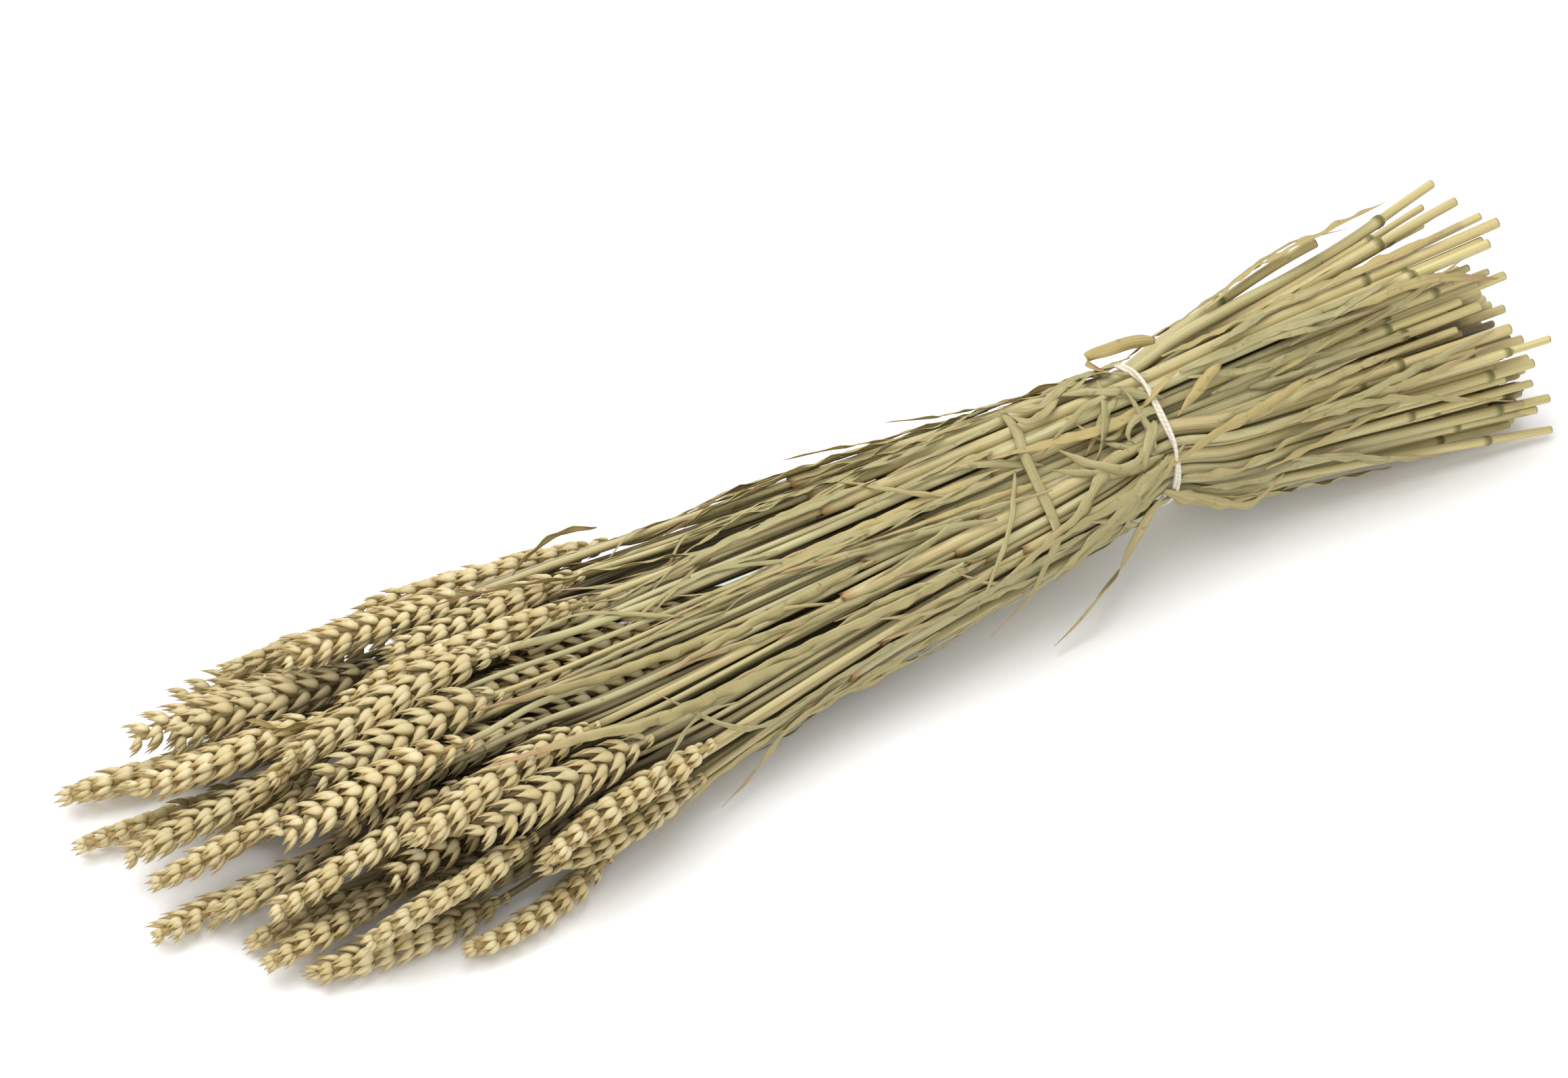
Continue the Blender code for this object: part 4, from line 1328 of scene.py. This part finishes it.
def cord_tree(material):
    """Winds strands round a closed path, each at its own phase of the twist."""
    tree = bpy.data.node_groups.new("Twisted cord", "GeometryNodeTree")
    face = tree.interface
    face.new_socket("Path", in_out="INPUT", socket_type="NodeSocketGeometry")
    for name, value in (("Strand radius", STRAND_RADIUS * MM), ("Offset", STRAND_OFFSET * MM)):
        face.new_socket(name, in_out="INPUT", socket_type="NodeSocketFloat").default_value = value
    for name, value in (("Steps", CORD_STEPS), ("Twists", CORD_TWISTS)):
        face.new_socket(name, in_out="INPUT", socket_type="NodeSocketInt").default_value = value
    face.new_socket("Cord", in_out="OUTPUT", socket_type="NodeSocketGeometry")
    given = add(tree, "NodeGroupInput").outputs
    curve = add(tree, "GeometryNodeMeshToCurve", {"Mesh": given["Path"]})
    sockets = {"Curve": curve.outputs[0], "Count": given["Steps"]}
    steps = add(tree, "GeometryNodeResampleCurve", sockets, mode="COUNT")
    sockets = {"Resolution": CORD_SIDES, "Radius": given["Strand radius"]}
    section = add(tree, "GeometryNodeCurvePrimitiveCircle", sockets)
    spline = add(tree, "GeometryNodeSplineParameter").outputs
    factor = spline["Factor"]
    # How far a point is along the strand and round it, for the yarn
    steps, section = (
        add(
            tree,
            "GeometryNodeStoreNamedAttribute",
            {"Geometry": source.outputs[0], "Name": name, "Value": value},
            data_type="FLOAT",
            domain="POINT",
        )
        for name, source, value in (("run", steps, spline["Length"]), ("round", section, factor))
    )
    normal = add(tree, "GeometryNodeInputNormal").outputs["Normal"]
    tangent = add(tree, "GeometryNodeInputTangent").outputs["Tangent"]
    turns = add(tree, "ShaderNodeMath", {0: factor, 1: given["Twists"]}, operation="MULTIPLY").outputs[0]
    angle = add(tree, "ShaderNodeMath", {0: turns, 1: TURN}, operation="MULTIPLY").outputs[0]
    both = add(tree, "GeometryNodeJoinGeometry")
    for strand in range(CORD_STRANDS):
        sockets = {0: angle, 1: TURN * strand / CORD_STRANDS}
        phase = add(tree, "ShaderNodeMath", sockets, operation="ADD").outputs[0]
        sockets = {"Vector": normal, "Axis": tangent, "Angle": phase}
        outwards = add(tree, "ShaderNodeVectorRotate", sockets, rotation_type="AXIS_ANGLE")
        sockets = {0: outwards.outputs[0], "Scale": given["Offset"]}
        offset = add(tree, "ShaderNodeVectorMath", sockets, operation="SCALE")
        sockets = {"Geometry": steps.outputs[0], "Offset": offset.outputs["Vector"]}
        moved = add(tree, "GeometryNodeSetPosition", sockets)
        sockets = {"Curve": moved.outputs[0], "Profile Curve": section.outputs[0]}
        strand_mesh = add(tree, "GeometryNodeCurveToMesh", sockets)
        tree.links.new(strand_mesh.outputs[0], both.inputs[0])
    add(tree, "NodeGroupOutput", {"Cord": finished(tree, both, material)})
    return tree


def cord_piece(bunch, shift, material):
    """The cord, drawn tight round the stalks."""
    ring = evenly(cord_ring(bunch), CORD_POINTS)
    for _ in range(CORD_SOFTENED):
        ring = (ring + 0.5 * np.roll(ring, 1, axis=0) + 0.5 * np.roll(ring, -1, axis=0)) / 2
    mesh = bpy.data.meshes.new("twisted_tie")
    count = len(ring)
    edges = [(i, (i + 1) % count) for i in range(count)]
    mesh.from_pydata([tuple(place) for place in ring * MM + shift], edges, [])
    obj = bpy.data.objects.new("twisted_tie", mesh)
    bpy.context.scene.collection.objects.link(obj)
    return grown(obj, cord_tree(material))


# Blades

# The three large blades, as in the CAD model: (x, degrees round the bunch, distance off the outer stalks)
LARGE_BLADES = {
    "leaf_front": {
        "route": (
            (-44, 66, 1.5),
            (-48, 90, 2.0),
            (-50, 118, 2.0),
            (-51, 145, 2.0),
            (-54, 172, 2.0),
            (-61, 198, 2.5),
            (-70, 216, 4.0),
            (-79, 230, 7.0),
        ),
        "width": 4.2,
        "tone": 0.2,
    },
    "leaf_loop": {
        "route": (
            (17, 60, 1.5),
            (8, 56, 6.0),
            (-1, 53, 8.0),
            (-7, 53, 7.5),
            (-9, 57, 5.0),
            (-6.5, 62, 2.5),
            (-4.5, 66, 1.4),
        ),
        "width": 5.0,
        "across": (0.3, 0.6, 0.75),
        "tone": 1.0,
    },
    "leaf_hanging": {
        "route": (
            (-5, 196, 1.6),
            (-12, 205, 3.5),
            (-24, 214, 9.0),
            (-36, 220, 14.0),
            (-47, 225, 18.0),
            (-58, 229, 21.0),
        ),
        "width": 5.5,
        "tone": 0.4,
    },
}
BLADE_THICKNESS = 0.16
BLADE_STEP = 2.2
LARGE_BLADE_SOFTENED = 6
LARGE_BLADE_STEPS = 40
LARGE_BLADE_POINTS = 7
LARGE_BLADE_FOOT = 0.5
LARGE_BLADE_CURL = (0.35, 0.25, 9)
LARGE_BLADE_TAPER_POWER = 3
# How a blade turns brown towards its tip: its rise over the length, what is taken off, and the most
LARGE_BLADE_DEAD = (3, 2.2, 1)
SMALL_BLADE_DEAD = (4, 2.8, 0.8)
SMALL_BLADE_STEPS = 8
BLADE_SEED = 77
# The share of its curl that a blade sinks by in the middle, and the share that makes it narrower
BLADE_CUP = 0.4
BLADE_NARROWED = 0.45
# How far apart two blades lie in the noise of the fibres, by tone and by length
BLADE_OWN_FIBRES = (1000, 17)
# A blade widens quickly at its foot, and its tip has what the taper leaves of the width
BLADE_TAPER = 0.93
BLADE_TAPER_POWER = (2, 5)
BLADE_FOOT = 0.25
BLADE_FOOT_GROWS = 4
# A small blade's waves: how long each is, then how much it turns, widens, lifts and curls the blade
WAVE_LENGTHS = (9.0, 14.0, 23.0)
WAVE_TURN = 0.25
WAVE_WIDTH = 0.1
WAVE_LIFT = 0.25
WAVE_CURL = 0.15
BLADE_TWIST = 0.9
BLADE_TILT = 0.3
BLADE_CURL = (0.05, 0.5)
BLADE_RAISED = 0.35
BLADE_OFF_SKIN = 0.2

# Blades whose places the photo gives: width, tone from olive to tan, how dead the tip is, then the route
# as (x, degrees round the bunch, height above it)
PLACED_BLADES = (
    (2.2, 0.2, 0.2, ((-55, 119, 1.5), (-65, 149, 2), (-77, 167, 2), (-87, 188, 3))),
    (6.5, 0.5, 0.3, ((-5, 191, 1), (12, 212, 2), (30, 215, 3), (44, 206, 1))),
    (3.0, 0.3, 0.6, ((-42, 41, 1), (-60, 41, 3), (-80, 38, 7))),
    (2.5, 0.6, 0.8, ((-80, 38, 1), (-95, 35, 3), (-118, 32, 6))),
    (3.6, 0.1, 0.0, ((2, 119, 2), (-5, 119, 5), (-12, 121, 6), (-15, 128, 3), (-13, 136, 1))),
    (2.6, 0.2, 0.5, ((-7, 149, 1), (-7, 128, 3), (-10, 98, 6))),
    (4.5, 0.1, 0.3, ((-3, 128, 2), (-12, 146, 2.5), (-14, 158, 1))),
    (2.6, 0.9, 0.8, ((-5, 113, 1), (2, 107, 3), (12, 101, 4))),
    (4.6, 1.0, 0.2, ((27, 108, 2), (17, 116, 2.5), (5, 132, 2))),
    (4.2, 0.9, 0.1, ((62, 143, 1), (40, 146, 2), (15, 152, 2), (-5, 168, 1.5))),
    (5.0, 0.2, 0.2, ((2, 22, 1), (-20, 62, 2), (-35, 78, 2), (-47, 60, 2))),
    (3.4, 0.3, 0.4, ((-28, 78, 2), (-43, 93, 3), (-47, 80, 4))),
    (4.6, 0.2, 0.3, ((-5, 140, 1), (-20, 146, 3), (-32, 134, 3), (-39, 116, 3))),
    (4.4, 0.9, 0.2, ((40, 58, 1), (62, 52, 2), (90, 56, 3), (124, 50, 3))),
    (4.0, 1.0, 0.3, ((80, 92, 1), (105, 95, 2), (124, 98, 3))),
    (3.6, 0.7, 0.9, ((78, 113, 1), (110, 116, 2), (142, 129, 3))),
    (3.8, 0.4, 0.3, ((62, 167, 1), (90, 176, 2), (137, 204, 4))),
    (2.6, 0.4, 0.7, ((-150, 60, 1), (-202, 50, 1), (-237, 38, 1), (-255, 33, 2))),
    (2.2, 0.3, 0.3, ((-145, 104, 1), (-182, 60, 1), (-215, 78, 1), (-234, 77, 2))),
    (3.8, 0.5, 1.0, ((-165, 146, 1), (-217, 140, 1), (-242, 137, 1), (-267, 128, 2))),
    (4.4, 0.4, 0.9, ((-150, 166, 1), (-210, 161, 1), (-237, 155, 1), (-274, 149, 1))),
    (2.0, 0.2, 0.5, ((-180, 126, 1), (-215, 89, 1), (-247, 104, 2))),
    (2.2, 0.3, 0.4, ((-130, 77, 1), (-157, 60, 1), (-180, 100, 1), (-194, 112, 1))),
    (2.0, 0.5, 0.4, ((-80, 118, 1), (-90, 108, 1.5), (-97, 98, 1.5), (-109, 56, 1))),
    (2.4, 0.7, 1.0, ((-98, 137, 1), (-122, 128, 2), (-147, 121, 2))),
    (4.8, 0.3, 0.2, ((-8, 140, 1), (-25, 140, 2), (-42, 161, 2), (-58, 170, 2), (-80, 178, 3))),
    (5.2, 0.2, 0.1, ((-3, 158, 1), (-15, 164, 2), (-32, 172, 3), (-52, 200, 2), (-72, 206, 1))),
    (5.0, 0.3, 0.2, ((0, 160, 1), (-10, 161, 2), (-25, 161, 3), (-42, 167, 2), (-68, 174, 1))),
    (3.6, 0.2, 0.5, ((-3, 182, 1), (-15, 179, 2), (-27, 173, 3), (-40, 166, 4))),
    (3.0, 0.4, 0.9, ((-140, 188, 1), (-167, 193, 2), (-177, 200, 5), (-194, 203, 9))),
    (3.8, 0.1, 0.2, ((6, 56, 1), (-15, 56, 2), (-30, 62, 2))),
    (4.2, 0.9, 0.2, ((4, 113, 1), (-20, 113, 2), (-40, 110, 2), (-62, 106, 2))),
    (5.0, 1.0, 0.0, ((-296, 58, -2), (-310, 36, -2), (-322, 24, -1))),
    (3.2, 0.3, 0.3, ((-50, 119, 1), (-82, 119, 1), (-120, 113, 1), (-160, 116, 1))),
    (3.6, 0.3, 0.5, ((-80, 164, 1), (-120, 164, 1), (-160, 162, 1), (-204, 161, 2))),
)

# Blades strewn by chance: how many, where they start, how far they run, how far they turn round the
# bunch, and their widths
STREWN_BLADES = (
    (64, (-120, -25), (-95, -35), 12, (1.4, 3.6)),
    (34, (-14, 8), (-42, -14), 34, (2.2, 5.0)),
    (44, (2, 60), (28, 88), 9, (2.0, 5.0)),
    (26, (-190, -130), (-75, -30), 14, (1.2, 2.6)),
)
UNDERSIDE = (246.0, 294.0)
STREWN_LIFT = (0.2, 1.6)
STREWN_TONE = 0.8
# Small blades that grow from the mouths of the sheaths
COLLAR_BLADES = 22
COLLAR_STARTS = 3.0
COLLAR_RUN = (35, 100)
COLLAR_TURN = 6.0
COLLAR_WIDTH = (2, 4)
COLLAR_TONE = 0.8
COLLAR_DEAD = 0.8
COLLAR_LIFT = 0.4
# Where along a blade laid by chance the points of its route are
ROUTE_PARTS = (0, 0.33, 0.66, 1)


def add_blade(shapes, route, across, widths, curl, points=5, **looks):
    """A thin strip along a route. `across` is its sideways direction and `curl` how far its edges lift."""
    tangent = unit(np.gradient(route, axis=0))
    across = unit(across - (across * tangent).sum(axis=1, keepdims=True) * tangent)
    over = np.cross(tangent, across)
    s = np.linspace(-1, 1, points)
    s = np.concatenate([s, s[::-1]])
    layer = np.concatenate([np.full(points, -0.5), np.full(points, 0.5)]) * BLADE_THICKNESS
    half = widths[:, None] / 2
    lift = curl[:, None] * half * (s[None] ** 2 - BLADE_CUP) + layer[None] * np.minimum(1, half)
    sideways = half * s[None] * np.sqrt(np.clip(1 - BLADE_NARROWED * curl[:, None] ** 2, 0.2, 1))
    rings = route[:, None] + sideways[..., None] * across[:, None] + lift[..., None] * over[:, None]
    rings[..., 2] = np.maximum(rings[..., 2], FLOOR_GAP + 0.5 * (1 + layer))
    run = np.concatenate([[0], np.cumsum(np.linalg.norm(np.diff(route, axis=0), axis=1))])
    flat = np.stack(np.broadcast_arrays(run[:, None], sideways, layer), axis=-1)
    own = BLADE_OWN_FIBRES[0] * looks["tone"] + BLADE_OWN_FIBRES[1] * run[-1]
    shapes.add(rings, flat + (own, 0, 0), **looks)


def dead_tip(part, fast, start, most):
    """How brown a blade is at each share of its length."""
    return np.clip(part * fast - start, 0, most)


def lay_blade(shapes, skin, chance, width, tone, dead, route):
    """A blade that lies over the bunch: a little rolled, twisted and crumpled, with a fine tip."""
    places = np.array([skin.place(x, degrees, lift + BLADE_OFF_SKIN) for x, degrees, lift in route])
    length = np.linalg.norm(np.diff(places, axis=0), axis=1).sum()
    steps = max(SMALL_BLADE_STEPS, int(length / BLADE_STEP))
    route = smooth_route(places, steps)
    part = np.linspace(0, 1, len(route))
    out = skin.outwards(route)
    across = np.cross(unit(np.gradient(route, axis=0)), out)
    waves = chance.uniform(0, TURN, 3)
    cycles = length / np.array(WAVE_LENGTHS)
    wave = np.sin(part[:, None] * cycles * TURN + waves)
    turn = chance.uniform(-BLADE_TWIST, BLADE_TWIST) * part + WAVE_TURN * wave[:, 1]
    turn += chance.uniform(-BLADE_TILT, BLADE_TILT)
    across = np.cos(turn)[:, None] * across + np.sin(turn)[:, None] * out
    wide = np.minimum(1, BLADE_FOOT + BLADE_FOOT_GROWS * part)
    wide *= 1 - BLADE_TAPER * part ** chance.uniform(*BLADE_TAPER_POWER)
    widths = width * wide * (1 + WAVE_WIDTH * wave[:, 0])
    raised = BLADE_RAISED * widths * np.abs(np.sin(turn))
    raised += WAVE_LIFT * (1 + wave[:, 2]) * np.sin(math.pi * part)
    curl = chance.uniform(*BLADE_CURL) + WAVE_CURL * wave[:, 1]
    looks = {"tone": tone, "dead": dead * dead_tip(part, *SMALL_BLADE_DEAD)}
    add_blade(shapes, route + raised[:, None] * out, across, widths, curl, **looks)


def loose_blades(skin, stems, shift, material):
    """All the small blades as one piece: those that the photo shows, and others strewn round the bunch."""
    shapes = Shapes(("tone", "dead"))
    chance = np.random.default_rng(BLADE_SEED)
    for width, tone, dead, route in PLACED_BLADES:
        lay_blade(shapes, skin, chance, width, tone, dead, route)
    for stem in stems[:COLLAR_BLADES]:
        x = stem.mouth_x + COLLAR_STARTS
        start = skin.direction(stem.line(np.array([x]))[0])
        far, turn = chance.uniform(*COLLAR_RUN), chance.normal(0, COLLAR_TURN)
        route = [(x - part * far, start + turn * part, COLLAR_LIFT) for part in ROUTE_PARTS]
        width, tone = chance.uniform(*COLLAR_WIDTH), chance.uniform(0, COLLAR_TONE)
        lay_blade(shapes, skin, chance, width, tone, COLLAR_DEAD, route)
    for count, starts, runs, drift, widths in STREWN_BLADES:
        for _ in range(count):
            x, run = chance.uniform(*starts), chance.uniform(*runs)
            start = UNDERSIDE[1] - 360 + chance.uniform(0, 1) * (360 - UNDERSIDE[1] + UNDERSIDE[0])
            turn, bend = chance.normal(0, drift), chance.normal(0, drift / 3)
            lift = chance.uniform(*STREWN_LIFT)
            route = [
                (x + run * part, start + turn * part + bend * math.sin(math.pi * part), lift)
                for part in ROUTE_PARTS
            ]
            tone = STREWN_TONE * chance.uniform(0, 1) ** 2
            lay_blade(shapes, skin, chance, chance.uniform(*widths), tone, chance.uniform(0, 1), route)
    return shapes.finish("loose_dry_blades", shift, material, skin)


def large_blade(name, bunch, skin, shift, material):
    """One of the three large blades."""
    leaf = LARGE_BLADES[name]
    places = [bunch.outside(x, math.radians(angle), lift) for x, angle, lift in leaf["route"]]
    route = smooth_route(places, LARGE_BLADE_STEPS)
    for _ in range(LARGE_BLADE_SOFTENED):
        route[1:-1] = (route[:-2] + 2 * route[1:-1] + route[2:]) / 4
    if "across" in leaf:
        across = np.tile(leaf["across"], (len(route), 1))
    else:
        across = np.cross(unit(np.gradient(route, axis=0)), skin.outwards(route))
    part = np.linspace(0, 1, len(route))
    widths = leaf["width"] * np.minimum(1, LARGE_BLADE_FOOT + BLADE_FOOT_GROWS * part)
    widths *= 1 - BLADE_TAPER * part**LARGE_BLADE_TAPER_POWER
    shapes = Shapes(("tone", "dead"))
    least, more, waves = LARGE_BLADE_CURL
    curl = least + more * np.sin(part * waves)
    looks = {"tone": leaf["tone"], "dead": dead_tip(part, *LARGE_BLADE_DEAD)}
    add_blade(shapes, route, across, widths, curl, LARGE_BLADE_POINTS, **looks)
    return shapes.finish(f"dry_{name}", shift, material, skin)


# Studio


def make_studio(paper):
    """White floor, an even white sky and two large soft lights, above and in front."""
    mesh = bpy.data.meshes.new("floor")
    corners = [(FLOOR_HALF * x, FLOOR_HALF * y, 0) for x, y in ((-1, -1), (1, -1), (1, 1), (-1, 1))]
    mesh.from_pydata(corners, [], [(0, 1, 2, 3)])
    mesh.materials.append(paper)
    floor = bpy.data.objects.new("floor", mesh)
    bpy.context.scene.collection.objects.link(floor)

    world = bpy.data.worlds.new("White studio")
    world.use_nodes = True
    background = world.node_tree.nodes["Background"]
    background.inputs["Color"].default_value = colour("#FFFFFF")
    background.inputs["Strength"].default_value = SKY_STRENGTH
    bpy.context.scene.world = world

    for name, place, size, power in SOFTBOXES:
        light = bpy.data.lights.new(name, "AREA")
        light.shape = "SQUARE"
        light.size = size
        light.energy = power
        lamp = bpy.data.objects.new(name, light)
        lamp.location = place
        lamp.rotation_euler = (-Vector(place)).to_track_quat("-Z", "Y").to_euler()
        bpy.context.scene.collection.objects.link(lamp)


def make_camera(shift):
    """The photo's view: 31 degrees to the side and 42 degrees down."""
    camera = bpy.data.cameras.new("Camera")
    camera.sensor_width = SENSOR_WIDTH
    camera.lens = SENSOR_WIDTH * FOCAL_PIXELS / IMAGE_WIDTH
    camera.clip_start, camera.clip_end = CAMERA_REACH
    obj = bpy.data.objects.new("Camera", camera)
    obj.location = Vector(np.array(CAMERA_PLACE) * MM + shift)
    obj.rotation_euler = (math.pi / 2 - CAMERA_DOWN, 0.0, -CAMERA_SIDE)
    bpy.context.scene.collection.objects.link(obj)
    bpy.context.scene.camera = obj


def build():
    bunch = Bunch()
    shift = frame_shift(bunch)
    skin = Skin(bunch)
    husk = make_husk()
    straw = make_straw()
    blade = make_blade()
    cotton = make_cotton()

    kinds = make_spikelets(husk)
    growth = ear_tree(kinds, husk)
    outer = list(range(len(OUTER_EARS)))
    for name, stalks in (("ears_01_to_13", outer[:13]), ("ears_14_to_26", outer[13:])):
        piece = ears_piece(name, bunch, stalks, skin, shift, growth)
        put(piece, "ear", *[f"ear_{k + 1:02d}" for k in stalks])
    outer_stems = [stalk_stem(bunch, k) for k in outer]
    piece = stems_piece("stems_01_to_26", outer_stems, skin, shift, straw)
    put(piece, "stem", *[f"stem_{k + 1:02d}" for k in outer])
    put(stems_piece("thin_stems", filler_stems(bunch), skin, shift, straw), "stem")
    for group, side in enumerate(INNER_GROUPS):
        members = [k for k in range(bunch.count) if bunch.group[k] == group]
        node = f"inner_stalks_{side}"
        put(ears_piece(f"inner_ears_{side}", bunch, members, skin, shift, growth), "ear", node)
        stems = [stalk_stem(bunch, k) for k in members]
        put(stems_piece(f"inner_stems_{side}", stems, skin, shift, straw), "inner_stalks", node)
    for spikelet in list(kinds.objects):
        bpy.data.objects.remove(spikelet, do_unlink=True)
    bpy.data.collections.remove(kinds)

    put(cord_piece(bunch, shift, cotton), "cord", "tie_cord")
    for name in LARGE_BLADES:
        put(large_blade(name, bunch, skin, shift, blade), "leaf", name)
    put(loose_blades(skin, outer_stems, shift, blade), "leaf")

    make_studio(make_paper())
    make_camera(shift)
    bpy.context.scene.view_settings.view_transform = "Standard"


build()
